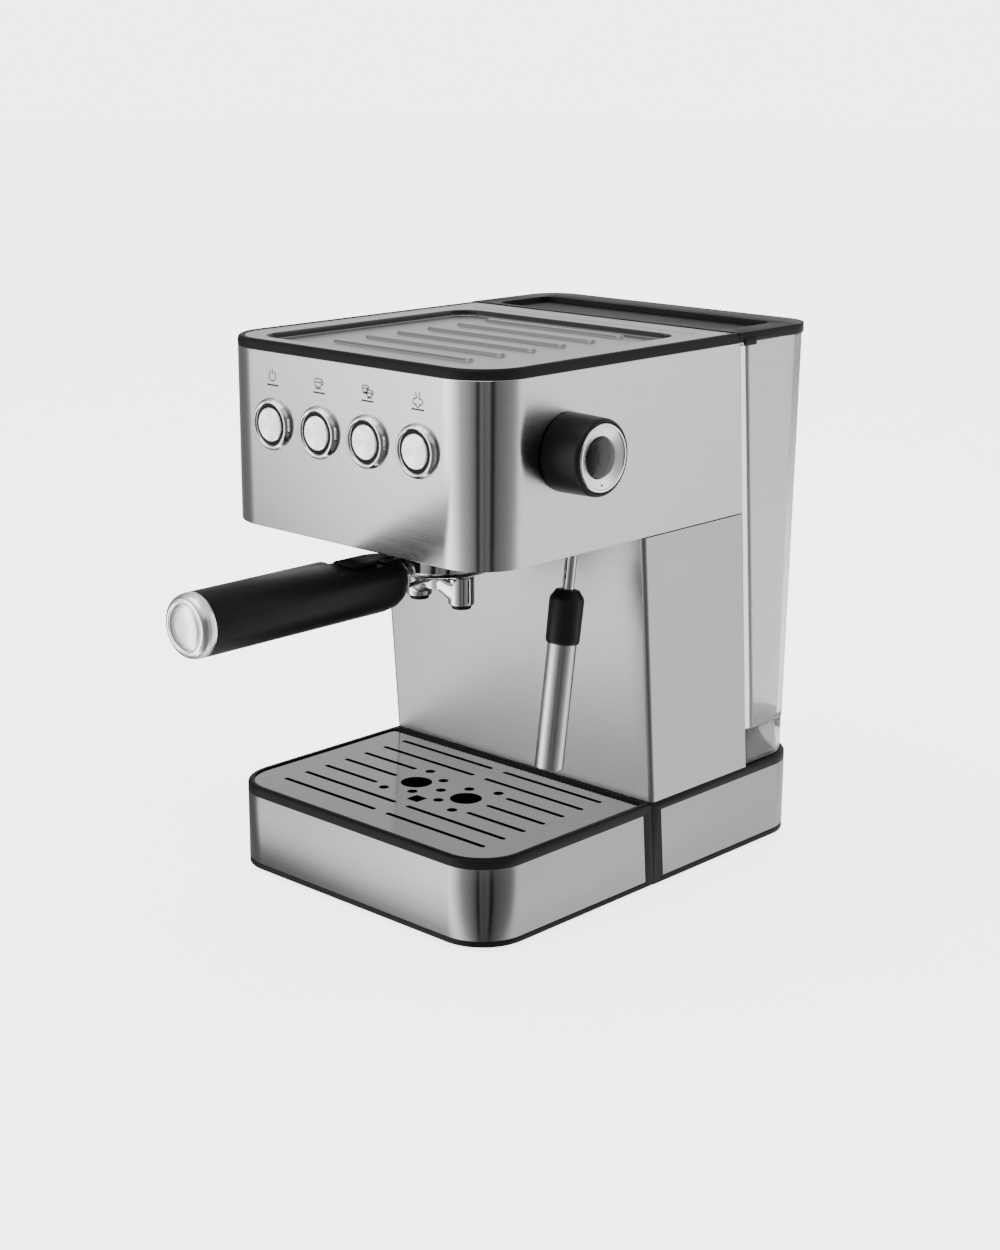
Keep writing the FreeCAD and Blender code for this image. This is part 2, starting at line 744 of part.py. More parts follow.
def make_tubes(boiler_top):
    knob_y = SIZES["knob_y"]
    outlet_y = SIZES["outlet_y"]
    group_y = SIZES["group_y"]
    wand_x = SIZES["wand_x"]
    wand_y = SIZES["wand_y"]
    valve_x = SIZES["head_width"] / 2 - 20
    under = 28.0
    over = boiler_top + 13
    keep("suction_tube", tube("suction", [
        (0, outlet_y, 41.8), (0, outlet_y, under), (-40, 70, under), (-RISER_X, PUMP_Y, under),
        (-RISER_X, PUMP_Y, PUMP_Z), (-45.2, PUMP_Y, PUMP_Z)], 3, 2))
    keep("pressure_tube", tube("pressure", [
        (45.2, PUMP_Y, PUMP_Z), (RISER_X, PUMP_Y, PUMP_Z), (RISER_X, PUMP_Y, over),
        (4, group_y + 16, over), (4, group_y + 16, boiler_top)], 2.5, 1.5))
    feed = tube("steam_feed", [
        (20, group_y - 16, boiler_top), (20, group_y - 16, over - 2), (valve_x, knob_y, over - 2),
        (valve_x, knob_y, SIZES["knob_z"] + 9)], 2.5, 1.5)
    drop = tube("steam_drop", [
        (valve_x, knob_y, SIZES["knob_z"] - 9), (valve_x, knob_y, 228), (wand_x, wand_y, 228),
        (wand_x, wand_y, SIZES["wand_z"] + 9)], 2.5, 1.5)
    keep("steam_tubes", group("steam_pair", feed, drop))


# --- filter holder --------------------------------------------------------------------------

NOTCH_FLOOR = 196.6
COLLAR_TOP = 197.8


def make_holder():
    radius = cell.holder_radius
    bottom = cell.holder_bottom
    top = cell.holder_top
    cup = turned("holder_cup", [
        (4, bottom), (radius - 5, bottom), (radius - 2, bottom + 1), (radius, bottom + 3.7),
        (radius, top), (radius - 4.6, top), (radius - 4.6, bottom + 5.7), (4, bottom + 5.7)],
        0, cell.group_y, 0)
    neck = rod("holder_neck", 8, 20.2, 0, -80, cell.handle_z, "-y")
    bore = rod("holder_bore", 3.1, 16.5, 0, -84.5, cell.handle_z, "-y")
    inside = rod("holder_inside", radius - 4.6, 30, 0, cell.group_y, bottom + 5.7)
    lug_bottom = cell.head_bottom + 5.4
    lugs = common(
        "lug_pair",
        box("lug_bar", -60, 60, cell.group_y - LUG_WIDTH / 2, cell.group_y + LUG_WIDTH / 2,
            lug_bottom, lug_bottom + 4.5),
        turned("lug_ring", [
            (radius - 1, lug_bottom), (36.5, lug_bottom), (36.5, lug_bottom + 4.5),
            (radius - 1, lug_bottom + 4.5)], 0, cell.group_y, 0))
    keep("filter_holder", cut("holder", fuse("holder_blank", cup, neck, lugs), bore, inside))
    rim = top + 1.1
    keep("filter_basket", turned("basket", [
        (0, bottom + 12), (25.4, bottom + 12), (26, bottom + 12.6), (26, top), (radius - 0.6, top),
        (radius - 0.6, rim), (25.4, rim), (25.4, bottom + 12.6), (0, bottom + 12.6)],
        0, cell.group_y, 0))


def make_spout():
    top = cell.holder_bottom
    tip = top - 20.8
    x = cell.spout_x
    y = cell.group_y
    pieces = [
        rod("spout_hub", 11, 12, 0, y, top - 12),
        box("spout_bridge", -x, x, y - 7, y + 7, top - 16, top - 6)]
    ways = [
        rod("spout_inlet", 4, 10, 0, y, top - 8),
        rod("spout_channel", 3, 2 * x, -x, y, top - 10, "+x")]
    for side in (-1, 1):
        pieces.append(rod("spout_tube", 7.5, 16, side * x, y, top - 19.3))
        pieces.append(rod("spout_tip", 5.6, 3, side * x, y, tip))
        ways.append(rod("spout_outlet", 3, 12, side * x, y, tip - 1))
    keep("twin_spout", cut("spout", fuse("spout_blank", *pieces), *ways))


def make_handle():
    start = cell.handle_start_y
    radius = cell.handle_radius
    length = cell.handle_length
    z = cell.handle_z
    grip = turned("grip", [
        (3.2, 0), (11.5, 0), (14.5, 2.5), (radius - 0.8, 7), (radius, 14), (radius, length),
        (3.2, length)], 0, start, z, "-y")
    notch = box("notch", -20, 20, start - 50, start - 16, NOTCH_FLOOR, 215)
    collar = box("collar_flat", -20, 20, start - 17, start + 1, COLLAR_TOP, 215)
    groove = box("tongue_groove", -5.2, 5.2, start - 17, start + 1, NOTCH_FLOOR, 215)
    keep("holder_handle", cut("handle", grip, notch, collar, groove))
    clip_bottom = NOTCH_FLOOR + 0.3
    slider = box("clip_slider", -8, 8, start - 36.5, start - 18.5, clip_bottom, clip_bottom + 2.1)
    tongue = box("clip_tongue", -4.6, 4.6, start - 20, start + 2.5, clip_bottom, clip_bottom + 1.1)
    keep("basket_clip", fuse("clip", slider, tongue))
    keep("handle_ring", turned("ring", [
        (3.2, 0), (10.8, 0), (11.5, 0.6), (11.5, 2.2), (10.8, 2.8), (3.2, 2.8)],
        0, start + 2.8, z, "-y"))
    end = start - length
    keep("handle_end_cap", turned("end_cap", [
        (0, 0), (radius, 0), (radius, 2.2), (radius - 1.1, 2.5), (radius - 1.1, 3.1),
        (radius - 0.5, 3.4), (radius - 0.6, 5.6), (radius - 1.8, 7.2), (12.8, 7.8), (12, 7.2),
        (11.2, 7.8), (6, 8.9), (0, 9.2)], 0, end, z, "-y"))
    keep("handle_rod", rod("draw_rod", 3, 151, 0, -85, z, "-y"))


# --- steam wand -----------------------------------------------------------------------------

def wand_piece(node, item):
    """Lay a piece, made along +Z from the ball's centre, along the leaning wand."""
    place(item, cell.wand_x, cell.wand_y, cell.wand_z, Rotation(X_AXIS, 170))
    item.setExpression("Placement.Rotation.Angle", "180 deg - Sizes.wand_tilt * 1 deg")
    return keep(node, item)


def make_wand():
    x, y, z = cell.wand_x, cell.wand_y, cell.wand_z
    socket_blank = turned("socket_blank", [
        (2.6, -1.2), (9, -1.2), (9, 5.4), (11, 5.4), (11, 7.2), (5, 7.2), (5, 9), (2.6, 9)], x, y, z)
    keep("wand_socket", cut("socket", socket_blank, ball("socket_ball", 6.15, x, y, z)))
    pipe = turned("pipe", [
        (1.6, 5), (3.2, 5), (3.2, 112), (1.6, 112)], 0, 0, 0)
    joint = cut("pipe_ball", ball("ball", 6, 0, 0, 0), rod("ball_way", 1.6, 14, 0, 0, -7))
    wand_piece("steam_pipe", fuse("pipe_with_ball", pipe, joint))
    wand_piece("steam_tip", turned("tip", [
        (0, 112), (4.2, 112), (4.2, 117), (2.6, 120), (0, 120)], 0, 0, 0))
    wand_piece("wand_grip", turned("wand_grip_body", [
        (3.3, 24.7), (6.4, 24.7), (9.6, 29.2), (9.4, 53.4), (8.7, 54.5), (8.15, 54.5), (8.15, 48),
        (3.3, 48)], 0, 0, 0))
    outer = cell.sleeve_radius
    wand_piece("froth_sleeve", turned("sleeve", [
        (3.3, 48.3), (outer, 48.3), (outer, 123.9), (outer - 0.6, 124.5), (outer - 1, 124.5),
        (outer - 1, 52), (3.3, 52)], 0, 0, 0))


# --- water tank -----------------------------------------------------------------------------

def tank_loft(label, bottom, top, inset):
    """The tank's tapering outline between two heights, inset all round."""
    sections = []
    for height in (size(bottom), size(top)):
        sketch = doc.addObject("Sketcher::SketchObject", label + "_section")
        share = (height - cell.base_top) / (cell.tank_top - cell.base_top)
        back = cell.tank_foot_back_y + (cell.tank_back_y - cell.tank_foot_back_y) * share
        half = cell.tank_width / 2 - (1 - share) - inset
        front = leaning_y(cell.rear_seam_y + 0.6, height)
        draw_outline(
            sketch, -half, half, front + inset, back - inset, 5 - inset, cell.tank_radius - inset)
        sections.append(place(sketch, 0, 0, height))
    item = doc.addObject("Part::Loft", label)
    item.Sections = sections
    item.Solid = True
    item.Ruled = True
    return item


def make_tank():
    floor = cell.tank_floor
    y = cell.outlet_y
    keep("water_tank", cut(
        "tank", tank_loft("tank_outside", floor, cell.tank_top, 0),
        tank_loft("tank_inside", floor + 3, cell.tank_top + 2, 2.4), rod("tank_outlet", 7, 8, 0, y, floor - 2)))
    foot_bottom = cell.base_top + cell.gap
    keep("tank_foot", cut(
        "foot_ring", tank_loft("foot_outside", foot_bottom, floor, 0.4),
        tank_loft("foot_inside", foot_bottom - 2, floor + 2, 2.8)))
    keep("tank_valve", turned("valve_body", [
        (2, floor - 16.5), (6.8, floor - 16.5), (6.8, floor + 3), (10, floor + 3), (10, floor + 5.5),
        (2, floor + 5.5)], 0, y, 0))
    seat = cell.base_top
    keep("tank_socket", turned("tank_socket_body", [
        (1.8, seat - 10.5), (4, seat - 10.5), (4.4, seat), (16, seat), (16, seat + 2.2),
        (11, seat + 2.2), (11, seat + 7), (9, seat + 7), (9, seat + 2.4), (3, seat + 2.4),
        (3, seat + 4.8), (1.8, seat + 4.8)], 0, y, 0))


def make_lid():
    half = cell.head_width / 2
    back = cell.tank_back_y + 0.3
    bottom = cell.rim_bottom
    top = cell.head_top
    plate = prism("lid_plate", -half, half, 40, back, 5, cell.tank_radius, bottom, top)
    under = prism(
        "lid_under", -half + 3, half - 3, 73, back - 3, 3, cell.tank_radius - 3, bottom - 1, top - 2.4)
    well = prism("lid_well", -90, 90, 70.2, 121, 10, 10, top - 5.2, top - 1)
    recess = prism("lid_recess", -88, 88, 72.2, 119, 8, 8, top - 3.2, top + 1)
    shell = fuse("lid_shell", cut("lid_skin", plate, under), well)
    heel = box("lid_heel", -half - 1, half + 1, back - 1.6, back + 1, bottom - 1, bottom + 1.2)
    tab = box("lid_tab", half - 0.5, half + 1, 71.5, 82, bottom - 2, bottom + 2)
    body = cut("lid_cut", shell, recess, ahead("lid_ahead", cell.rear_seam_y + cell.gap), heel)
    keep("tank_lid", fuse("lid", body, tab))


def check_and_write():
    doc.recompute()
    for item in doc.Objects:
        if "Invalid" in item.State or "Error" in item.State:
            raise SystemExit(f"failed feature: {item.Name} {item.Label} {item.State}")
    os.makedirs("parts", exist_ok=True)
    for node, item in nodes.items():
        shape = item.Shape
        if shape.isNull() or not shape.isValid() or not shape.Solids:
            raise SystemExit(f"bad shape: {node}")
        shape.exportStep(f"parts/{node}.step")
        print(f"{node}: {len(shape.Solids)} solid(s), {shape.Volume / 1000:.2f} cm3")
    print(f"{len(nodes)} nodes")


make_base_plate()
make_rear_base()
make_tray()
make_drip_plate()
make_column()
make_head()
make_cup_plate()
make_buttons()
make_knob()
make_group()
boiler_top = make_boiler()
make_pump()
make_tubes(boiler_top)
make_holder()
make_spout()
make_handle()
make_wand()
make_tank()
make_lid()
check_and_write()
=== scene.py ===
"""Looks of the espresso machine: its visible skins, mouldings and finishes, and a plain studio round it."""
import json
import math

import bmesh
import bpy
from mathutils import Matrix, Vector


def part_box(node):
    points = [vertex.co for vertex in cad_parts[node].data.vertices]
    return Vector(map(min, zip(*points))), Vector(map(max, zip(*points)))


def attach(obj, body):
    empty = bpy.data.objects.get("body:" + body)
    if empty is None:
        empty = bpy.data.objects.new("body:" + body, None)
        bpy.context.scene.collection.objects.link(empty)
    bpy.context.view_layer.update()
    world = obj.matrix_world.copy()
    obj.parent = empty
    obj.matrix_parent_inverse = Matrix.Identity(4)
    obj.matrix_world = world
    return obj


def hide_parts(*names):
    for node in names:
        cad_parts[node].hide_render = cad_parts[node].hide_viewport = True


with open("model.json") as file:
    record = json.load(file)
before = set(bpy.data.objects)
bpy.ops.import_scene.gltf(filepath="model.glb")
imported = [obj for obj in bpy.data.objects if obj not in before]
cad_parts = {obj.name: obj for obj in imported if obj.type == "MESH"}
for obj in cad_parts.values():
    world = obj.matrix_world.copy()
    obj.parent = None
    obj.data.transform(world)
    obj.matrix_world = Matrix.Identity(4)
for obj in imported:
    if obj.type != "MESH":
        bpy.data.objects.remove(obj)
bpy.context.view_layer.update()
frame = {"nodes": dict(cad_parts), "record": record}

MM = 0.001
LEAN = 0.08
BASE_TOP = 52.7
TINY = 1e-6
WELD = 2e-6


# --- shapes ---------------------------------------------------------------------------------

def mm(*lengths):
    return Vector(lengths) * MM


def box_of(node):
    """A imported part's lowest and highest corners, in millimetres."""
    low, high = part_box(node)
    return Vector(low) / MM, Vector(high) / MM


def body_of(node):
    for body, nodes in frame["record"]["behaviour"]["bodies"].items():
        if node in nodes:
            return body
    raise KeyError(node)


def finish_piece(name, mesh, body, material, stands_for=(), ease=0.0, steps=2, limit=30):
    """Put a finished mesh, with its place in it, into the scene and on its body."""
    piece = bpy.data.objects.new(name, mesh)
    bpy.context.collection.objects.link(piece)
    if material:
        mesh.materials.clear()
        mesh.materials.append(material)
    mesh.shade_smooth()
    if ease:
        soft = piece.modifiers.new("eased edges", "BEVEL")
        soft.width = ease * MM
        soft.segments = steps
        soft.limit_method = "ANGLE"
        soft.angle_limit = math.radians(limit)
        soft.harden_normals = True
        soft.miter_outer = "MITER_ARC"
    else:
        mesh.set_sharp_from_angle(angle=math.radians(limit))
    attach(piece, body)
    if stands_for:
        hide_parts(*stands_for)
    return piece


def as_mesh(bm, name):
    mesh = bpy.data.meshes.new(name)
    bm.to_mesh(mesh)
    bm.free()
    return mesh


def mesh_from(bm, name):
    """Weld doubled points, turn the faces outwards, and make a mesh."""
    bmesh.ops.remove_doubles(bm, verts=bm.verts[:], dist=WELD)
    bmesh.ops.recalc_face_normals(bm, faces=bm.faces[:])
    return as_mesh(bm, name)


def copy_of(node):
    """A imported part's surface with its loose triangles joined into whole faces."""
    bm = bmesh.new()
    bm.from_mesh(frame["nodes"][node].data)
    bmesh.ops.remove_doubles(bm, verts=bm.verts[:], dist=WELD)
    bmesh.ops.dissolve_limit(
        bm, angle_limit=math.radians(0.6), verts=bm.verts[:], edges=bm.edges[:], use_dissolve_boundaries=False)
    return bm


def eased(node, name, material, ease, round_edges=None, radius=0, steps=2):
    """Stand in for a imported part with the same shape, its sharp edges eased as a mould or file leaves them."""
    bm = copy_of(node)
    if round_edges:
        picked = [edge for edge in bm.edges if round_edges(edge)]
        bmesh.ops.bevel(
            bm, geom=picked, offset=radius * MM, segments=4, profile=0.5, affect="EDGES", clamp_overlap=True)
    return finish_piece(
        name, as_mesh(bm, name), body_of(node), material, [node], ease, steps)


def soften(points, radius, closed=True, steps=4):
    """Round the corners of a profile."""
    rounded = []
    count = len(points)
    for index, here in enumerate(points):
        if not closed and index in (0, count - 1):
            rounded.append(here)
            continue
        here = Vector(here)
        before = Vector(points[index - 1])
        after = Vector(points[(index + 1) % count])
        inward = (before - here).normalized()
        onward = (after - here).normalized()
        turn = math.pi - inward.angle(onward)
        if turn < 0.05 or here.x < TINY:
            rounded.append(tuple(here))
            continue
        reach = min(
            radius * math.tan(turn / 2), 0.45 * (before - here).length, 0.45 * (after - here).length)
        start, end = here + inward * reach, here + onward * reach
        for step in range(steps + 1):
            share = step / steps
            low, high = start.lerp(here, share), here.lerp(end, share)
            rounded.append(tuple(low.lerp(high, share)))
    return rounded


def aim(axis):
    """The turn that takes +Z to an axis."""
    return Vector((0, 0, 1)).rotation_difference(Vector(axis)).to_matrix().to_4x4()


def lathe(bm, profile, origin, axis=(0, 0, 1), sides=96, closed=True, wrap=None):
    """Turn a profile of (radius, height) pairs about an axis through origin."""
    place = Matrix.Translation(Vector(origin) * MM) @ aim(axis)
    rings = []
    for radius, height in profile:
        if radius < TINY:
            rings.append([bm.verts.new(place @ mm(0, 0, height))])
            continue
        ring = []
        for side in range(sides):
            turn = 2 * math.pi * side / sides
            ring.append(bm.verts.new(place @ mm(radius * math.cos(turn), radius * math.sin(turn), height)))
        rings.append(ring)
    pairs = list(zip(rings, rings[1:] + rings[:1])) if closed else list(zip(rings, rings[1:]))
    for lower, upper in pairs:
        if len(lower) == len(upper) == 1:
            continue
        for side in range(sides):
            after = (side + 1) % sides
            corners = [lower[side % len(lower)], lower[after % len(lower)]]
            corners += [upper[after % len(upper)], upper[side % len(upper)]]
            corners = [corner for index, corner in enumerate(corners) if corner not in corners[:index]]
            face = bm.faces.new(corners)
            if wrap is not None:
                for loop in face.loops:
                    local = place.inverted() @ loop.vert.co
                    turn = math.atan2(local.y, local.x) / (2 * math.pi)
                    turn += round((side + 0.5) / sides - turn)
                    loop[wrap].uv = (turn, local.xy.length / MM)


def turned(name, profile, origin, axis, body, material, stands_for=(), soft=0.5, sides=96):
    bm = bmesh.new()
    lathe(bm, soften(profile, soft), origin, axis, sides)
    return finish_piece(name, mesh_from(bm, name), body, material, stands_for, limit=50)


def plan(half, front, back, front_radius, back_radius, steps=24):
    """A rounded rectangle seen from above, anticlockwise, as (x, y, outward x, outward y)."""
    corners = [
        (-half + front_radius, front + front_radius, front_radius, 180),
        (half - front_radius, front + front_radius, front_radius, 270),
        (half - back_radius, back - back_radius, back_radius, 0),
        (-half + back_radius, back - back_radius, back_radius, 90)]
    outline = []
    for x, y, radius, begin in corners:
        for step in range(steps + 1):
            turn = math.radians(begin + 90 * step / steps)
            out_x, out_y = math.cos(turn), math.sin(turn)
            outline.append((x + radius * out_x, y + radius * out_y, out_x, out_y))
    return outline


def moulding(bm, outline, section):
    """Run a closed section of (outward, height) pairs all round an outline."""
    rings = [
        [bm.verts.new(mm(x + out * out_x, y + out * out_y, height)) for out, height in section]
        for x, y, out_x, out_y in outline]
    for ring, following in zip(rings, rings[1:] + rings[:1]):
        for index in range(len(section)):
            after = (index + 1) % len(section)
            bm.faces.new((ring[index], following[index], following[after], ring[after]))


def trim(bm, y, keep_front=True):
    """Cut along a plane that leans forwards as it rises, y at the top of the base, and close the cut."""
    bmesh.ops.recalc_face_normals(bm, faces=bm.faces[:])
    bmesh.ops.bisect_plane(
        bm, geom=bm.verts[:] + bm.edges[:] + bm.faces[:], plane_co=mm(0, y, BASE_TOP),
        plane_no=Vector((0, 1, LEAN)).normalized(), clear_outer=keep_front, clear_inner=not keep_front)
    rim = [edge for edge in bm.edges if edge.is_boundary]
    bmesh.ops.holes_fill(bm, edges=rim, sides=0)


def step_up(share):
    """A smooth rise from 0 to 1."""
    share = min(max(share, 0.0), 1.0)
    return share * share * (3 - 2 * share)


# --- finishes -------------------------------------------------------------------------------

QUARTER_TURN = 0.25


def linear(code):
    """An sRGB hex colour as the linear colour that shaders take."""
    channels = [int(code[index:index + 2], 16) / 255 for index in (1, 3, 5)]
    return [c / 12.92 if c <= 0.04045 else ((c + 0.055) / 1.055) ** 2.4 for c in channels] + [1.0]


def add(tree, kind, inputs=None, **settings):
    """Add a node, set its settings, and set or link its inputs."""
    item = tree.nodes.new(kind)
    for name, value in settings.items():
        setattr(item, name, value)
    for name, value in (inputs or {}).items():
        if isinstance(value, bpy.types.NodeSocket):
            tree.links.new(value, item.inputs[name])
        else:
            item.inputs[name].default_value = value
    return item


def new_material(name):
    material = bpy.data.materials.new(name)
    material.use_nodes = True
    tree = material.node_tree
    shader = tree.nodes["Principled BSDF"]
    return material, tree, shader


def streaks(tree, stretch, detail=3.0):
    """Noise drawn out into streaks. stretch is cycles per metre along X, Y and Z."""
    place = add(tree, "ShaderNodeTexCoord").outputs["Object"]
    drawn = add(tree, "ShaderNodeMapping", {"Vector": place, "Scale": stretch})
    noise = add(tree, "ShaderNodeTexNoise", {
        "Vector": drawn.outputs["Vector"], "Scale": 1.0, "Detail": detail, "Roughness": 0.6})
    return noise.outputs["Fac"]


def spread(tree, value, low, high):
    """Bring noise, which lies mostly from 0.3 to 0.7, to a range."""
    return add(tree, "ShaderNodeMapRange", {
        "Value": value, "From Min": 0.3, "From Max": 0.7, "To Min": low, "To Max": high}).outputs["Result"]


def tint(tree, value, dark, light):
    share = spread(tree, value, 0.0, 1.0)
    return add(tree, "ShaderNodeMix", {
        "Factor": share, 6: linear(dark), 7: linear(light)}, data_type="RGBA").outputs[2]


def relief(tree, value, height_mm):
    return add(tree, "ShaderNodeBump", {
        "Height": value, "Strength": 1.0, "Distance": height_mm * MM}).outputs["Normal"]


def brushed_metal(name, dark, light, stretch, rough, grain_mm=0.012, one_way=0.6):
    material, tree, shader = new_material(name)
    grain = streaks(tree, stretch)
    clouds = streaks(tree, (14, 14, 14), 2.0)
    low, high = rough
    both = add(tree, "ShaderNodeMix", {"Factor": 0.35, 2: grain, 3: clouds}, data_type="FLOAT").outputs[0]
    shader.inputs["Metallic"].default_value = 1.0
    tree.links.new(tint(tree, both, dark, light), shader.inputs["Base Color"])
    tree.links.new(spread(tree, grain, low, high), shader.inputs["Roughness"])
    tree.links.new(relief(tree, grain, grain_mm), shader.inputs["Normal"])
    if one_way:
        shader.inputs["Anisotropic"].default_value = one_way
        shader.inputs["Anisotropic Rotation"].default_value = QUARTER_TURN
        tangent = add(tree, "ShaderNodeTangent", direction_type="RADIAL", axis="Z")
        tree.links.new(tangent.outputs["Tangent"], shader.inputs["Tangent"])
    return material


def plated_metal(name, dark, light, rough):
    material, tree, shader = new_material(name)
    haze = streaks(tree, (90, 90, 90), 4.0)
    shader.inputs["Metallic"].default_value = 1.0
    tree.links.new(tint(tree, haze, dark, light), shader.inputs["Base Color"])
    tree.links.new(spread(tree, haze, *rough), shader.inputs["Roughness"])
    return material


def moulded(name, dark, light, rough, grit_mm=0.5, grit_height=0.01, ior=1.5):
    material, tree, shader = new_material(name)
    cycles = 1 / (grit_mm * MM)
    grit = streaks(tree, (cycles, cycles, cycles), 2.0)
    clouds = streaks(tree, (25, 25, 25), 3.0)
    tree.links.new(tint(tree, clouds, dark, light), shader.inputs["Base Color"])
    tree.links.new(spread(tree, clouds, *rough), shader.inputs["Roughness"])
    tree.links.new(relief(tree, grit, grit_height), shader.inputs["Normal"])
    shader.inputs["IOR"].default_value = ior
    return material


def clear_plastic(name, colour, rough, through):
    material, tree, shader = new_material(name)
    haze = streaks(tree, (20, 20, 8), 3.0)
    tree.links.new(spread(tree, haze, *rough), shader.inputs["Roughness"])
    shader.inputs["Base Color"].default_value = linear(colour)
    shader.inputs["Transmission Weight"].default_value = through
    shader.inputs["IOR"].default_value = 1.2
    return material


# Cold-rolled stainless steel, belt-brushed along its length: light grey, with fine level streaks that smear
# reflections upwards. The real streaks are about 0.1 mm, too fine to show, so they are drawn near 0.5 mm.
stainless = brushed_metal(
    "brushed stainless steel", "#b0b0b0", "#bababa", (25, 25, 3000), (0.2, 0.24), 0.0012, one_way=0.9)
# The bands round the base are a darker grey.
stainless_base = brushed_metal(
    "brushed stainless base band", "#848484", "#8d8d8d", (25, 25, 3000), (0.2, 0.25), 0.0012, one_way=0.9)
# The column's sheet is duller, with coarser streaks. Its darker grey is painted shade: it stands in for the shadow
# that the head casts on the column.
stainless_column = brushed_metal(
    "brushed stainless column sheet with painted shade", "#9c9c9c", "#a6a6a6", (20, 20, 1500), (0.36, 0.42), 0.004, one_way=0.7)
# The same sheet brushed along the machine's width on its flat top.
stainless_top = brushed_metal(
    "brushed stainless cup plate", "#939393", "#9d9d9d", (25, 2000, 2000), (0.24, 0.3), 0.0006, one_way=0.0)
# Stainless sheet, punched and half polished: a darker, mirror-like grey.
polished_sheet = brushed_metal(
    "half-polished stainless grid", "#7a7a7a", "#828282", (30, 1200, 1200), (0.10, 0.15), 0.0004, 0.0)
sleeve_steel = brushed_metal(
    "drawn stainless tube", "#b6b6b6", "#bdbdbd", (60, 60, 60), (0.26, 0.32), 0.001, 0.0)
chrome = plated_metal("polished chrome plate", "#c8c8c8", "#d0d0d0", (0.09, 0.13))
satin_chrome = plated_metal("satin chrome plate", "#e2e2e2", "#eaeaea", (0.2, 0.26))
plain_steel = brushed_metal("galvanised sheet", "#9a9b9c", "#a8a9aa", (60, 60, 60), (0.35, 0.45), 0.01, 0.0)
cast_aluminium = moulded("cast aluminium", "#a5a6a7", "#b3b4b5", (0.4, 0.5), 0.8, 0.03)
cast_aluminium.node_tree.nodes["Principled BSDF"].inputs["Metallic"].default_value = 1.0
brass = plated_metal("machined brass", "#b08d4a", "#c09c58", (0.2, 0.3))
# ABS from a finely sparked mould: near black, soft low highlights. The black and clear plastics have an IOR
# below the real one, which keeps their sheen as dark as it looks.
black_abs = moulded("black satin ABS", "#0a0a0a", "#0f0f0f", (0.4, 0.48), ior=1.17)
# Phenolic and polypropylene grips: deeper black, a little glossier.
black_grip = moulded("black moulded grip", "#080808", "#0c0c0c", (0.32, 0.40), 0.4, 0.008, ior=1.22)
black_gloss = moulded("gloss black ABS", "#0e0e0e", "#131313", (0.14, 0.2), 0.6, 0.003, ior=1.4)
grey_plastic = moulded("grey nylon", "#3c3d3e", "#454647", (0.45, 0.55))
rubber = moulded("black rubber", "#161616", "#1d1d1d", (0.7, 0.8), 0.6, 0.02)
silicone = moulded("milky silicone", "#c9c8c4", "#d4d3cf", (0.4, 0.5), 0.5, 0.005)
board_green = moulded("lacquered circuit board", "#15402a", "#1c4c33", (0.3, 0.4), 0.7, 0.01)
printed_ink = moulded("dark grey printed ink", "#141414", "#1a1a1a", (0.5, 0.6), 0.4, 0.002, ior=1.3)
# Clear SAN, blown with a slightly matt inside: light passes, outlines blur.
clear_tank = clear_plastic("clear SAN", "#b6b6b6", (0.2, 0.26), 0.9)
clear_foot = clear_plastic("clear SAN foot", "#a2a2a2", (0.08, 0.14), 0.9)


def spun_metal(name, dark, light, rough):
    """Metal faced on a lathe: rings too fine to see turn its highlight into two bright fans."""
    material, tree, shader = new_material(name)
    place = add(tree, "ShaderNodeUVMap", uv_map="spin").outputs["UV"]
    drawn = add(tree, "ShaderNodeMapping", {"Vector": place, "Scale": (3, 4, 1)})
    rings = add(tree, "ShaderNodeTexNoise", {
        "Vector": drawn.outputs["Vector"], "Scale": 1.0, "Detail": 2.0}).outputs["Fac"]
    shader.inputs["Metallic"].default_value = 1.0
    tree.links.new(tint(tree, rings, dark, light), shader.inputs["Base Color"])
    tree.links.new(spread(tree, rings, *rough), shader.inputs["Roughness"])
    tangent = add(tree, "ShaderNodeTangent", direction_type="UV_MAP", uv_map="spin")
    tree.links.new(tangent.outputs["Tangent"], shader.inputs["Tangent"])
    shader.inputs["Anisotropic"].default_value = 0.95
    shader.inputs["Anisotropic Rotation"].default_value = QUARTER_TURN
    return material


# Aluminium faced on a lathe under a satin plate: near white, with soft fans of light.
spun_face = spun_metal("spun satin aluminium", "#f2f2f2", "#f8f8f8", (0.3, 0.36))

FINISH_OF_SLOT = {
    "brushed_steel": stainless, "grid_steel": polished_sheet, "inner_steel": plain_steel, "chrome": chrome,
    "satin_chrome": satin_chrome, "black_plastic": black_abs, "black_gloss": black_gloss,
    "inner_plastic": grey_plastic, "tank_plastic": clear_tank, "tank_foot_plastic": clear_foot,
    "rubber": rubber, "silicone": silicone, "cast_aluminium": cast_aluminium, "valve_brass": brass,
    "circuit_board": board_green}
for part in frame["record"]["subparts"]:
    mesh = frame["nodes"][part["node"]].data
    mesh.materials.clear()
    mesh.materials.append(FINISH_OF_SLOT[part["material_slot"]])


# --- repeats --------------------------------------------------------------------------------

def new_tree(name, kinds):
    """An empty geometry tree with a geometry input, the named inputs and a geometry output."""
    tree = bpy.data.node_groups.new(name, "GeometryNodeTree")
    tree.interface.new_socket("Geometry", in_out="INPUT", socket_type="NodeSocketGeometry")
    for label, kind in kinds.items():
        tree.interface.new_socket(label, in_out="INPUT", socket_type=kind)
    tree.interface.new_socket("Geometry", in_out="OUTPUT", socket_type="NodeSocketGeometry")
    return tree, add(tree, "NodeGroupInput").outputs


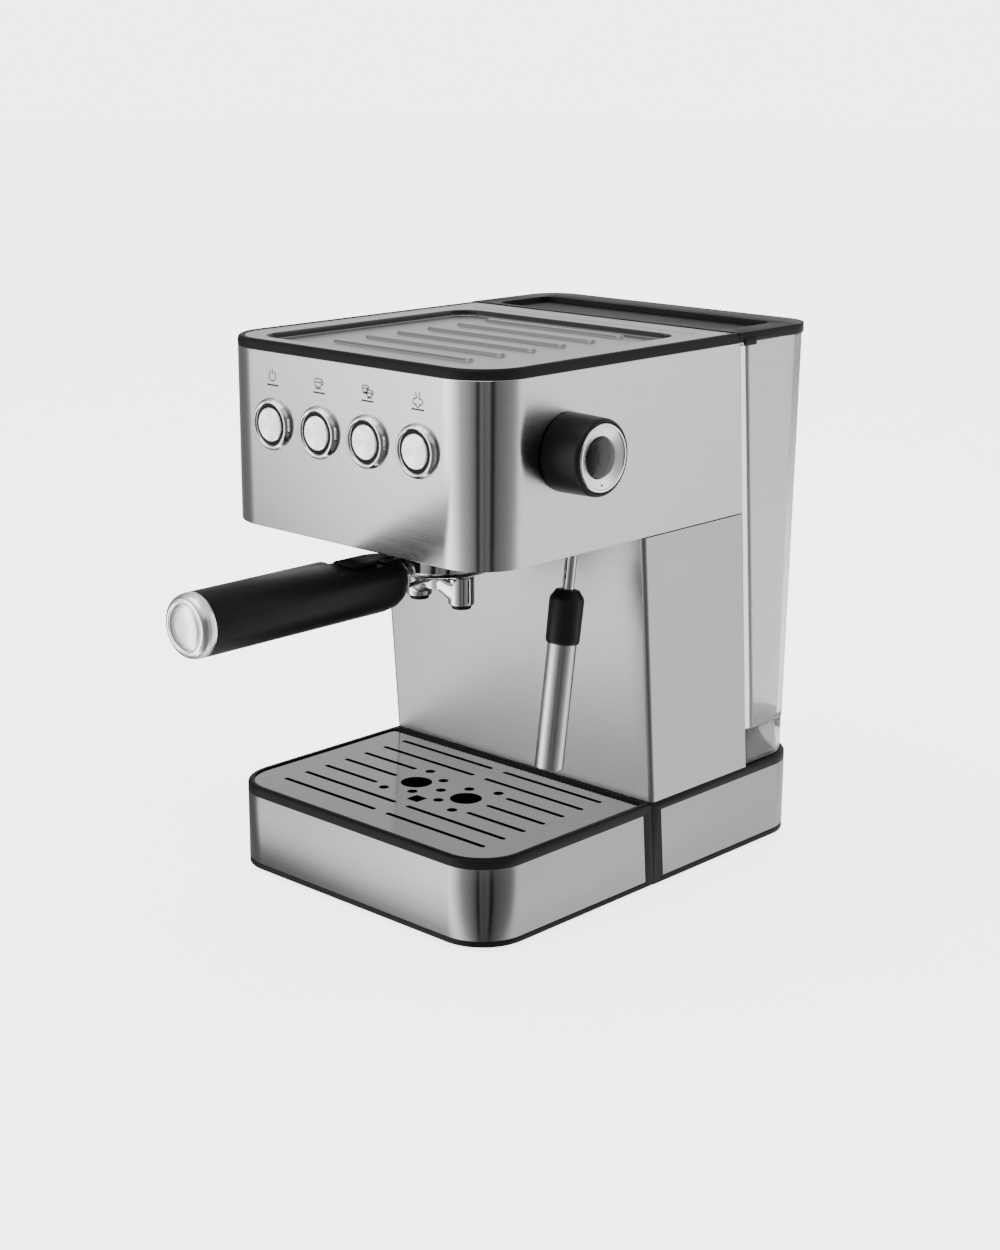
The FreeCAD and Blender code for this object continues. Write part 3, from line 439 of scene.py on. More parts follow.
def repeat_tree():
    """Copies of one piece at even steps along a line, made solid in one material."""
    tree, given = new_tree("copies in a row", {
        "Count": "NodeSocketInt", "Start": "NodeSocketVector", "Step": "NodeSocketVector",
        "Piece": "NodeSocketObject", "Finish": "NodeSocketMaterial"})
    row = add(tree, "GeometryNodeMeshLine", {
        "Count": given["Count"], "Start Location": given["Start"], "Offset": given["Step"]}, mode="OFFSET")
    piece = add(tree, "GeometryNodeObjectInfo", {"Object": given["Piece"]})
    placed = add(tree, "GeometryNodeInstanceOnPoints", {
        "Points": row.outputs["Mesh"], "Instance": piece.outputs["Geometry"]})
    solid = add(tree, "GeometryNodeRealizeInstances", {"Geometry": placed.outputs["Instances"]})
    finished = add(tree, "GeometryNodeSetMaterial", {
        "Geometry": solid.outputs["Geometry"], "Material": given["Finish"]})
    add(tree, "NodeGroupOutput", {"Geometry": finished.outputs["Geometry"]})
    return tree


def perforate_tree():
    """A sheet cut to an outline, with rounded slots and round holes punched through it."""
    tree, given = new_tree("perforated sheet", {
        "Slot Length": "NodeSocketFloat", "Slot Width": "NodeSocketFloat", "Short Slot Length": "NodeSocketFloat",
        "Hole Radius": "NodeSocketFloat", "Small Hole Radius": "NodeSocketFloat", "Square Side": "NodeSocketFloat",
        "Thickness": "NodeSocketFloat", "Raise": "NodeSocketVector", "Marks": "NodeSocketObject",
        "Finish": "NodeSocketMaterial"})
    marks = add(tree, "GeometryNodeObjectInfo", {"Object": given["Marks"]}).outputs["Geometry"]
    kind = add(tree, "GeometryNodeInputNamedAttribute", {"Name": "kind"}, data_type="INT").outputs[0]
    half_width = add(tree, "ShaderNodeMath", {0: given["Slot Width"], 1: 0.499}, operation="MULTIPLY").outputs[0]

    def slot_shape(length):
        bar = add(tree, "GeometryNodeCurvePrimitiveQuadrilateral", {
            "Width": length, "Height": given["Slot Width"]}).outputs["Curve"]
        rounded = add(tree, "GeometryNodeFilletCurve", {
            "Curve": bar, "Radius": half_width, "Count": 6}, mode="POLY")
        return rounded.outputs["Curve"]

    shapes = [slot_shape(given["Slot Length"]), slot_shape(given["Short Slot Length"])]
    for radius in ("Hole Radius", "Small Hole Radius"):
        shapes.append(add(tree, "GeometryNodeCurvePrimitiveCircle", {
            "Radius": given[radius], "Resolution": 40}, mode="RADIUS").outputs["Curve"])
    shapes.append(add(tree, "GeometryNodeCurvePrimitiveQuadrilateral", {
        "Width": given["Square Side"], "Height": given["Square Side"]}).outputs["Curve"])
    joined = add(tree, "GeometryNodeJoinGeometry")
    outline = add(tree, "GeometryNodeMeshToCurve", {"Mesh": given["Geometry"]}).outputs["Curve"]
    tree.links.new(outline, joined.inputs["Geometry"])
    for number, shape in enumerate(shapes):
        chosen = add(tree, "FunctionNodeCompare", {2: kind, 3: number}, data_type="INT", operation="EQUAL")
        placed = add(tree, "GeometryNodeInstanceOnPoints", {
            "Points": marks, "Instance": shape, "Selection": chosen.outputs["Result"]})
        real = add(tree, "GeometryNodeRealizeInstances", {"Geometry": placed.outputs["Instances"]})
        tree.links.new(real.outputs["Geometry"], joined.inputs["Geometry"])
    sheet = add(tree, "GeometryNodeFillCurve", {"Curve": joined.outputs["Geometry"]}).outputs["Mesh"]
    down = add(tree, "ShaderNodeMath", {0: given["Thickness"], 1: -1.0}, operation="MULTIPLY").outputs[0]
    way = add(tree, "ShaderNodeCombineXYZ", {"Z": down}).outputs[0]
    under = add(tree, "GeometryNodeExtrudeMesh", {"Mesh": sheet, "Offset": way, "Individual": False})
    both = add(tree, "GeometryNodeJoinGeometry")
    tree.links.new(under.outputs["Mesh"], both.inputs["Geometry"])
    tree.links.new(sheet, both.inputs["Geometry"])
    welded = add(tree, "GeometryNodeMergeByDistance", {"Geometry": both.outputs["Geometry"], "Distance": 1e-6})
    raised = add(tree, "GeometryNodeTransform", {
        "Geometry": welded.outputs["Geometry"], "Translation": given["Raise"]})
    finished = add(tree, "GeometryNodeSetMaterial", {
        "Geometry": raised.outputs["Geometry"], "Material": given["Finish"]})
    add(tree, "NodeGroupOutput", {"Geometry": finished.outputs["Geometry"]})
    return tree


def grown(name, start_mesh, tree, **inputs):
    """Run a geometry tree on a mesh and return the plain mesh that it makes."""
    seed = bpy.data.objects.new(name + " start", start_mesh)
    bpy.context.collection.objects.link(seed)
    modifier = seed.modifiers.new("grow", "NODES")
    modifier.node_group = tree
    keys = {item.name: item.identifier for item in tree.interface.items_tree if item.in_out == "INPUT"}
    for label, value in inputs.items():
        modifier[keys[label.replace("_", " ")]] = value
    graph = bpy.context.evaluated_depsgraph_get()
    mesh = bpy.data.meshes.new_from_object(seed.evaluated_get(graph))
    seed.modifiers.remove(modifier)
    bpy.data.objects.remove(seed)
    mesh.name = name
    return mesh


def helper_object(name, mesh):
    """A shape that a tree copies. It is removed once the copies are made."""
    helper = bpy.data.objects.new(name, mesh)
    bpy.context.collection.objects.link(helper)
    return helper


copies_in_a_row = repeat_tree()
perforated_sheet = perforate_tree()


def in_a_row(name, mesh, count, start, step, material):
    helper = helper_object(name + " pattern", mesh)
    made = grown(
        name, bpy.data.meshes.new(name + " start"), copies_in_a_row, Count=count, Start=mm(*start),
        Step=mm(*step), Piece=helper, Finish=material)
    bpy.data.objects.remove(helper)
    return made


# --- base and drip tray ---------------------------------------------------------------------

base_low, base_high = box_of("rear_band")
tray_low, tray_high = box_of("tray_band")
BASE_HALF = tray_high.x
FRONT = tray_low.y
BACK = base_high.y
BASE_RADIUS = 28.0
TRAY_END, REAR_START = -8.9, 7.0
BAND_BOTTOM, BAND_TOP = tray_low.z, tray_high.z
STEEL_SKIN = [(-0.95, BAND_BOTTOM), (-0.25, BAND_BOTTOM), (0, BAND_BOTTOM + 0.3), (0, BAND_TOP - 0.3),
              (-0.25, BAND_TOP), (-0.95, BAND_TOP)]


def steel_wrap(name, node, y, keep_front, body):
    """The brushed sheet let into the side of the base."""
    bm = bmesh.new()
    moulding(bm, plan(BASE_HALF, FRONT, BACK, BASE_RADIUS, BASE_RADIUS), STEEL_SKIN)
    trim(bm, y, keep_front)
    return finish_piece(name, mesh_from(bm, name), body, stainless_base, [node], limit=40)


steel_wrap("tray_front_wrap", "tray_band", TRAY_END, True, "drip_tray")
steel_wrap("base_rear_wrap", "rear_band", REAR_START, False, "chassis")


def on_top_rim(edge):
    """Edges round the outside of the base's top face, above a wall that faces outwards."""
    if any(abs(vert.co.z - BASE_TOP * MM) > 1e-5 for vert in edge.verts):
        return False
    if len(edge.link_faces) != 2 or edge.calc_face_angle(0) < 1.2 or not outside(edge):
        return False
    heart = mm(0, 3, 30)
    for face in edge.link_faces:
        middle = face.calc_center_median()
        if abs(face.normal.z) < 0.2 and face.normal.dot(middle - heart) > 0 and middle.z < BASE_TOP * MM:
            return True
    return False


def outside(edge):
    """Whether an edge lies on the base's own outline, seen from above."""
    middle = (edge.verts[0].co + edge.verts[1].co) / 2 / MM
    corner_x = BASE_HALF - BASE_RADIUS
    front_y, back_y = FRONT + BASE_RADIUS, BACK - BASE_RADIUS
    over_x = max(abs(middle.x) - corner_x, 0)
    over_y = max(front_y - middle.y, middle.y - back_y, 0)
    if over_x and over_y:
        return math.hypot(over_x, over_y) > BASE_RADIUS - 0.6
    return abs(middle.x) > BASE_HALF - 0.05 or middle.y < FRONT + 0.05 or middle.y > BACK - 0.05


eased("tray_tub", "tray_moulding", black_abs, 0.35, round_edges=on_top_rim, radius=2.0)
eased("base_pan", "base_moulding", black_abs, 0.35, round_edges=on_top_rim, radius=2.0)


def tray_hatch():
    """Slanted ribs along the tray's rear rim."""
    bm = bmesh.new()
    low, high = BASE_TOP - 0.1, BASE_TOP + 0.45
    base = [bm.verts.new(mm(x, y, low)) for x, y in ((0, -5.9), (1.5, -5.9), (3.1, -2.5), (1.6, -2.5))]
    top = [bm.verts.new(mm(x, y, high)) for x, y in ((0.3, -5.6), (1.2, -5.6), (2.8, -2.8), (1.9, -2.8))]
    bm.faces.new(base[::-1])
    bm.faces.new(top)
    for index in range(4):
        after = (index + 1) % 4
        bm.faces.new((base[index], base[after], top[after], top[index]))
    mesh = in_a_row("tray_rear_hatch", mesh_from(bm, "hatch rib"), 66, (-99, 0, 0), (3.0, 0, 0), black_abs)
    finish_piece("tray_rear_hatch", mesh, "drip_tray", None)


tray_hatch()

PLATE_TOP, PLATE_THICKNESS = 51.8, 1.2
GROUP_Y = -66.0
PITCH = 16.0
SLOT_WIDTH = 3.2
LONG_START, SHORT_START, SLOT_END = 6.0, 38.0, 79.0
LONG_SLOT, SHORT_SLOT, MARK_HOLE, MARK_SMALL, MARK_SQUARE = range(5)


def drip_plate_marks():
    """Points that say which hole goes where."""
    marks = []
    for row in range(-3, 4):
        short = abs(row) < 2
        middle = ((SHORT_START if short else LONG_START) + SLOT_END) / 2
        for side in (-1, 1):
            marks.append((side * middle, GROUP_Y + PITCH * row, SHORT_SLOT if short else LONG_SLOT))
    for side in (-1, 1):
        marks.append((side * 20, GROUP_Y, MARK_HOLE))
        for x, y in ((10.5, 12.7), (10.5, -12.7), (27.6, 19), (27.6, -19)):
            marks.append((side * x, GROUP_Y + y, MARK_SMALL))
    marks.append((0, GROUP_Y, MARK_SMALL))
    marks.append((0, GROUP_Y - 19.5, MARK_SQUARE))
    mesh = bpy.data.meshes.new("drip plate marks")
    mesh.from_pydata([mm(x, y, 0) for x, y, _ in marks], [], [])
    kinds = mesh.attributes.new("kind", "INT", "POINT")
    for index, mark in enumerate(marks):
        kinds.data[index].value = mark[2]
    return mesh


def drip_plate():
    low, high = box_of("drip_plate")
    outline = plan(high.x, low.y, high.y, 24.6, 3.0, 16)
    start = bpy.data.meshes.new("plate outline")
    corners = [mm(x, y, 0) for x, y, _, _ in outline]
    start.from_pydata(corners, [(i, (i + 1) % len(corners)) for i in range(len(corners))], [])
    marks = helper_object("marks", drip_plate_marks())
    mesh = grown(
        "drip_grid_plate", start, perforated_sheet, Slot_Length=(SLOT_END - LONG_START + SLOT_WIDTH) * MM,
        Slot_Width=SLOT_WIDTH * MM, Short_Slot_Length=(SLOT_END - SHORT_START + SLOT_WIDTH) * MM,
        Hole_Radius=9.2 * MM, Small_Hole_Radius=3 * MM, Square_Side=8.6 * MM, Thickness=PLATE_THICKNESS * MM,
        Raise=mm(0, 0, PLATE_TOP), Marks=marks, Finish=polished_sheet)
    bpy.data.objects.remove(marks)
    bm = bmesh.new()
    bm.from_mesh(mesh)
    bmesh.ops.remove_doubles(bm, verts=bm.verts[:], dist=WELD)
    bmesh.ops.dissolve_degenerate(bm, edges=bm.edges[:], dist=1e-6)
    bmesh.ops.recalc_face_normals(bm, faces=bm.faces[:])
    bm.to_mesh(mesh)
    bm.free()
    finish_piece(
        "drip_grid_plate", mesh, "drip_grid", polished_sheet, ["drip_plate"], ease=0.25, limit=40)


drip_plate()

# --- head -----------------------------------------------------------------------------------

head_low, head_high = box_of("head_shell")
rim_low, rim_high = box_of("head_rim")
HEAD_HALF = head_high.x
HEAD_RADIUS = 30.0
REAR_SEAM = 87.5
HEAD_BOTTOM, RIM_BOTTOM, HEAD_TOP = head_low.z, rim_low.z, rim_high.z


def head_pieces():
    past_the_seam = 130
    outline = plan(HEAD_HALF, head_low.y, past_the_seam, HEAD_RADIUS, 10, 32)
    skin = [(-1.4, HEAD_BOTTOM), (-0.7, HEAD_BOTTOM), (-0.2, HEAD_BOTTOM + 0.25), (0, HEAD_BOTTOM + 0.8),
            (0, RIM_BOTTOM - 0.35), (-0.3, RIM_BOTTOM - 0.05), (-1.0, RIM_BOTTOM - 0.05), (-1.0, HEAD_BOTTOM + 1.2),
            (-1.4, HEAD_BOTTOM + 1.0)]
    bm = bmesh.new()
    moulding(bm, outline, skin)
    trim(bm, REAR_SEAM)
    finish_piece("head_skin", mesh_from(bm, "head_skin"), "chassis", stainless, ["head_shell"],
                 limit=40)
    ledge = RIM_BOTTOM + 3.9
    rim = [(-6.2, RIM_BOTTOM), (-0.35, RIM_BOTTOM), (-0.05, RIM_BOTTOM + 0.3), (0, RIM_BOTTOM + 0.9),
           (0, HEAD_TOP - 2.3), (-0.25, HEAD_TOP - 1.2), (-0.9, HEAD_TOP - 0.4), (-1.8, HEAD_TOP - 0.05),
           (-2.4, HEAD_TOP), (-3.1, HEAD_TOP - 0.05), (-3.4, HEAD_TOP - 0.3), (-3.4, ledge), (-6.2, ledge)]
    bm = bmesh.new()
    moulding(bm, outline, rim)
    trim(bm, REAR_SEAM)
    finish_piece("head_top_frame", mesh_from(bm, "head_top_frame"), "chassis", black_abs, ["head_rim"],
                 limit=40)


head_pieces()


def inside_rounded(x, y, middle_y, half_x, half_y, radius):
    """How far a point lies inside a rounded rectangle, negative outside it."""
    over_x = abs(x) - (half_x - radius)
    over_y = abs(y - middle_y) - (half_y - radius)
    outside_by = math.hypot(max(over_x, 0), max(over_y, 0)) + min(max(over_x, over_y), 0)
    return radius - outside_by


RIB_ROWS = [-94.6 + 24.3 * rib for rib in range(6)]


def close_set(low, high, marks, reach, fine, coarse):
    """Grid lines from low to high, close together near the marks."""
    lines = [low]
    while lines[-1] < high - TINY:
        near = any(abs(lines[-1] - mark) < reach for mark in marks)
        lines.append(min(lines[-1] + (fine if near else coarse), high))
    return lines


def pressed_height(x, y):
    """Height and share of dark on the pressed cup plate: a dish with six ribs, and a low ridge behind it. The dark is
    near black on the dish's wall, and painted shade on the ribs' flanks.
    """
    depth_in = inside_rounded(x, y, -42.5, 84, 82.5, 14)
    wall = 1.8
    height = -3.4 * step_up(depth_in / wall)
    shade = 0.0
    for rib_y in RIB_ROWS:
        rise = (3.2 - math.hypot(max(abs(x) - 49.5, 0), y - rib_y)) / 1.2
        height += 1.5 * step_up(rise)
        # Painted shade: the ribs' flanks are darkened where shadow would fall along them.
        if 0 < rise < 1:
            shade = 0.75 * (1 - abs(2 * rise - 1))
    ridge = math.hypot(max(abs(x) - 82, 0), y - 51)
    height += 0.35 * step_up((3.6 - ridge) / 2.4)
    on_wall = step_up((depth_in + 0.2) / 0.5) * step_up((wall + 0.1 - depth_in) / 0.5)
    return height, max(on_wall, shade)


def cup_plate():
    low, high = box_of("cup_plate")
    surface = high.z
    rear = high.y
    half, front, radius = high.x, low.y, 26.2
    rows = close_set(front, rear, RIB_ROWS + [-124, -116, 31, 39, 51], 4.2, 0.5, 2.0)
    columns = close_set(-half, half, [-83, -76, -51.5, 51.5, 76, 83], 3.8, 0.6, 2.4)
    bm = bmesh.new()
    # The "wall" layer holds the share of dark: near black on the dish's wall, painted shade on the ribs' flanks.
    share = bm.verts.layers.float.new("wall")
    grid = []
    for y in rows:
        into = max(front + radius - y, 0)
        reach = half - radius + math.sqrt(max(radius * radius - into * into, 0))
        line = []
        for x in columns:
            if abs(x) > 70:
                x = math.copysign(70 + (abs(x) - 70) * (reach - 70) / (half - 70), x)
            height, wall = pressed_height(x, y)
            vert = bm.verts.new(mm(x, y, surface + height))
            vert[share] = wall
            line.append(vert)
        grid.append(line)
    for near, far in zip(grid, grid[1:]):
        for left in range(len(columns) - 1):
            bm.faces.new((near[left], near[left + 1], far[left + 1], far[left]))
    piece = finish_piece(
        "cup_warmer_plate", as_mesh(bm, "cup_warmer_plate"), "chassis", dished_steel, ["cup_plate"], limit=80)
    thick = piece.modifiers.new("sheet", "SOLIDIFY")
    thick.thickness = 0.8 * MM
    thick.offset = -1


def dished(name, base):
    """The cup plate's steel, drawn as a near-black non-metal on the dish's wall, with painted shade on the ribs'
    flanks.
    """
    material = base.copy()
    material.name = name
    tree = material.node_tree
    shader = tree.nodes["Principled BSDF"]
    wall = add(tree, "ShaderNodeAttribute", attribute_name="wall").outputs["Fac"]
    colour = shader.inputs["Base Color"].links[0].from_socket
    # The dark mixed in here is near black on the dish's wall and painted shade on the ribs' flanks; there the steel
    # also stops being metal.
    mixed = add(tree, "ShaderNodeMix", {"Factor": wall, 6: colour, 7: linear("#101010")}, data_type="RGBA")
    tree.links.new(mixed.outputs[2], shader.inputs["Base Color"])
    metal = add(tree, "ShaderNodeMath", {0: 1.0, 1: wall}, operation="SUBTRACT").outputs[0]
    tree.links.new(metal, shader.inputs["Metallic"])
    shader.inputs["IOR"].default_value = 1.25
    return material


dished_steel = dished("brushed stainless cup plate with lined dish", stainless_top)
cup_plate()

eased("column_panel", "column_wrap", stainless_column, 0.0)
eased("back_wall", "rear_wall_panel", black_abs, 0.5)
eased("head_floor", "head_underside", black_abs, 0.4)
eased("tank_lid", "tank_lid_moulding", black_abs, 0.5)
eased("water_tank", "tank_shell", clear_tank, 0.5)
eased("tank_foot", "tank_skirt", clear_foot, 0.4)

frosted_rib = moulded("frosted SAN rib", "#c2c2c2", "#cbcbcb", (0.25, 0.35), 0.5, 0.002)
# A thin grey strip of painted shadow: it stands in for the shade in the narrow gap beside each front corner of the
# tank.
shadow_gap = moulded("painted shadow strip on SAN", "#5c5d5d", "#666767", (0.3, 0.4), 0.5, 0.002)


def tank_strip(name, near, far, proud, material):
    """An upright strip along the front corners of the tank, following its lean and its draft. It makes the frosted
    rib, and the thin dark line of painted shadow beside it.
    """
    low, high = box_of("water_tank")
    bm = bmesh.new()
    for side in (-1, 1):
        rings = []
        for z in (low.z + 1.5, high.z - 1.5):
            skin = high.x - 1.0 * (high.z - z) / (high.z - low.z)
            lean = REAR_SEAM - LEAN * (z - BASE_TOP)
            corners = (
                (near, -2.5), (near, proud * 0.6), (near + 0.5, proud), (far - 0.5, proud), (far, proud * 0.6),
                (far, -2.5))
            rings.append([bm.verts.new(mm(side * (skin + out), lean + back, z)) for back, out in corners])
        for index in range(6):
            after = (index + 1) % 6
            bm.faces.new((rings[0][index], rings[0][after], rings[1][after], rings[1][index]))
        bm.faces.new(rings[0])
        bm.faces.new(rings[1])
    finish_piece(name, mesh_from(bm, name), "tank", material, limit=30)


tank_strip("tank_corner_rib", 1.4, 5.6, 0.5, frosted_rib)
# Painted shadow: a dark strip where the tank shows a shaded gap.
tank_strip("tank_corner_groove", 8.8, 9.8, 0.12, shadow_gap)


# --- controls -------------------------------------------------------------------------------

BUTTONS = {"power": "power_key", "one_cup": "one_cup_key", "two_cups": "two_cups_key", "steam": "steam_key"}
caps = {name: box_of(name + "_button") for name in BUTTONS}
BUTTON_Z = (caps["power"][0].z + caps["power"][1].z) / 2
button_x = [(caps[name][0].x + caps[name][1].x) / 2 for name in BUTTONS]
FACE = head_low.y
CAP_FRONT = caps["power"][0].y


def one_each(name, bm, material):
    """A turned ring round each button."""
    return in_a_row(
        name, mesh_from(bm, name + " blank"), len(BUTTONS), (button_x[0], FACE, BUTTON_Z),
        (button_x[1] - button_x[0], 0, 0), material)


def bezels():
    bm = bmesh.new()
    profile = soften([
        (11.0, -3), (14.5, -3), (14.5, 0.9), (14.0, 2.3), (13.2, 3.2), (12.3, 3.5), (11.5, 3.0), (11.0, 2.0)], 1.2)
    lathe(bm, profile, (0, 0, 0), (0, -1, 0), 72)
    mesh = one_each("button_rings", bm, chrome)
    finish_piece("button_rings", mesh, "chassis", None, ["button_bezels"], limit=50)


bezels()


def button_cap(name, body, x):
    bm = bmesh.new()
    wrap = bm.loops.layers.uv.new("spin")
    height = FACE - CAP_FRONT
    edge = soften([(9.2, -7), (9.2, height - 0.5), (8.6, height)], 0.4, closed=False)
    face = [(8.4, height), (6.5, height - 0.15), (4, height - 0.3), (2, height - 0.36), (0, height - 0.38)]
    stem = [(0, -7), (3.5, -7), (3.5, -2), (9.2, -2)]
    lathe(bm, stem + edge[1:] + face, (x, FACE, BUTTON_Z), (0, -1, 0), 72, closed=False, wrap=wrap)
    mesh = mesh_from(bm, name + "_cap")
    finish_piece(name + "_cap", mesh, body, spun_face, [name + "_button"], limit=40)


for (name, body), x in zip(BUTTONS.items(), button_x):
    button_cap(name, body, x)


def groove_rings():
    """The dark ring that shows round each cap."""
    bm = bmesh.new()
    profile = [(9.45, -2.6), (11.6, -2.6), (11.3, 2.0), (11.0, 2.3), (9.6, 2.3), (9.45, 2.1)]
    lathe(bm, profile, (0, 0, 0), (0, -1, 0), 64)
    finish_piece("button_wells", one_each("button_wells", bm, black_abs), "chassis", None)


groove_rings()

INK = 0.03
LINE = 0.62
SIGN_Z = 293.6


def ink_line(bm, points, closed=False, width=LINE):
    """A printed line: a thin raised strip along points on the head's face."""
    count = len(points)
    left, right = [], []
    for index, point in enumerate(points):
        here = Vector(point)
        before = Vector(points[index - 1]) if closed or index else here
        after = Vector(points[(index + 1) % count]) if closed or index < count - 1 else here
        way = (after - before).normalized()
        side = Vector((-way.y, way.x)) * width / 2
        left.append(here + side)
        right.append(here - side)
    layers = []
    for depth in (0.02, -INK):
        layers.append([[bm.verts.new(mm(p.x, FACE + depth, p.y)) for p in line] for line in (left, right)])
    (back_left, back_right), (front_left, front_right) = layers
    spans = range(count if closed else count - 1)
    for index in spans:
        after = (index + 1) % count
        bm.faces.new((front_left[index], front_left[after], front_right[after], front_right[index]))
        bm.faces.new((back_left[index], back_right[index], back_right[after], back_left[after]))
        bm.faces.new((front_left[index], back_left[index], back_left[after], front_left[after]))
        bm.faces.new((front_right[index], front_right[after], back_right[after], back_right[index]))
    if not closed:
        for index in (0, count - 1):
            bm.faces.new((front_left[index], front_right[index], back_right[index], back_left[index]))


def arc(x, z, radius, begin, end, steps=20):
    return [(x + radius * math.cos(math.radians(begin + (end - begin) * step / steps)),
             z + radius * math.sin(math.radians(begin + (end - begin) * step / steps))) for step in range(steps + 1)]


def cup_sign(bm, x, z, size):
    """A cup seen from the side, with a handle, a fill line and a saucer."""
    half = 2.3 * size
    ink_line(bm, [(x - half, z + 2.1 * size), (x + half, z + 2.1 * size), (x + half, z - 0.6 * size),
                  (x + half * 0.5, z - 1.7 * size), (x - half * 0.5, z - 1.7 * size), (x - half, z - 0.6 * size)],
             closed=True)
    ink_line(bm, [(x - half, z + 0.5 * size), (x + half, z + 0.5 * size)])
    ink_line(bm, arc(x + half, z + 0.6 * size, 1.1 * size, 80, -80, 10))
    ink_line(bm, [(x - half * 0.9, z - 2.4 * size), (x + half * 0.9, z - 2.4 * size)])


def signs():
    z = SIGN_Z
    under = z - 4.9
    bm = bmesh.new()
    ink_line(bm, arc(button_x[0], z, 2.7, 65, -245, 28))
    ink_line(bm, [(button_x[0], z + 3.8), (button_x[0], z + 0.9)])
    cup_sign(bm, button_x[1] - 0.5, z + 0.1, 1.15)
    cup_sign(bm, button_x[2] - 1.5, z + 1.2, 0.9)
    cup_sign(bm, button_x[2] + 1.5, z - 1.0, 0.9)
    steam = button_x[3]
    for side in (-1, 1):
        ink_line(bm, [(steam + side * 1.5, z + 4.2), (steam + side * 0.9, z + 0.9)])
        begin = 70 if side > 0 else 110
        ink_line(bm, [(steam + side * 0.9, z + 0.9)] + arc(
            steam + side * 2.0, z - 0.9, 1.5, begin, begin - side * 200, 14))
    ink_line(bm, arc(steam, z - 2.4, 1.3, 170, 370, 12))
    for x in button_x:
        ink_line(bm, [(x - 4.6, under), (x + 4.6, under)], width=0.9)
    finish_piece("button_signs", mesh_from(bm, "button_signs"), "chassis", printed_ink)


signs()

knob_low, knob_high = box_of("steam_knob")
KNOB = (knob_low.x, (knob_low.y + knob_high.y) / 2, (knob_low.z + knob_high.z) / 2)
OUT = (1, 0, 0)
turned("steam_knob_body", [
    (3.1, 0.2), (21.0, 0.0), (20.97, 0.9), (20.75, 12), (20.4, 22.4), (19.9, 23.7), (19.0, 24.2), (18.3, 24.0),
    (18.0, 22.0), (3.1, 22.0)], KNOB, OUT, "steam_control", black_grip, ["steam_knob"], 0.6)
turned("steam_knob_ring", [
    (10.8, 21.5), (17.9, 21.5), (17.9, 24.2), (17.4, 24.9), (16.6, 24.9), (16.1, 24.2), (11.4, 22.7), (10.8, 22.4)],
    KNOB, OUT, "steam_control", satin_chrome, ["knob_ring"], 0.3)
turned("steam_knob_dome", [
    (0, 21.5), (10.6, 21.5), (10.6, 23.2), (9.6, 24.0), (7.5, 24.8), (4.5, 25.5), (2, 25.7), (0, 25.75)],
    KNOB, OUT, "steam_control", black_gloss, ["knob_cap"], 0.5)


def knob_mark():
    """The small sunk drop that points to the setting."""
    bm = bmesh.new()
    spot = (KNOB[0] + 23.66, KNOB[1], KNOB[2] - 14.4)
    lathe(bm, [(0, -0.4), (0.9, -0.4), (0.85, 0.1), (0, 0.15)], spot, OUT, 24)
    finish_piece("steam_knob_mark", mesh_from(bm, "steam_knob_mark"), "steam_control", grey_plastic,
                 limit=50)


knob_mark()

# --- filter holder --------------------------------------------------------------------------

HANDLE_Z = 185.0
HANDLE_START = -103.0
TOWARDS = (0, -1, 0)
eased("holder_handle", "holder_grip", black_grip, 0.9, steps=3)
eased("basket_clip", "basket_clip_slider", black_abs, 0.4)
eased("group_head", "group_ring", chrome, 0.5)
eased("filter_holder", "holder_cup", chrome, 0.5)
turned("handle_neck_ring", [
    (3.2, 0), (10.4, 0), (11.3, 0.7), (11.5, 1.4), (11.3, 2.1), (10.4, 2.8), (3.2, 2.8)],
    (0, HANDLE_START + 2.8, HANDLE_Z), TOWARDS, "portafilter", chrome, ["handle_ring"], 0.4)


def end_cap():
    bm = bmesh.new()
    profile = [
        (0, 0), (17.2, 0), (17.2, 1.5), (17.05, 3.2), (16.6, 5.0), (15.8, 6.5), (14.7, 7.4), (13.4, 7.8), (12.7, 7.7),
        (12.3, 7.3), (11.8, 7.6), (10.6, 8.2), (8.2, 8.8), (5.5, 9.1), (3, 9.18), (0, 9.2)]
    start = box_of("handle_end_cap")[1].y
    lathe(bm, soften(profile, 0.3), (0, start, HANDLE_Z), TOWARDS)
    finish_piece("handle_end_button", mesh_from(bm, "handle_end_button"), "portafilter", satin_chrome,
                 ["handle_end_cap"], limit=50)


end_cap()


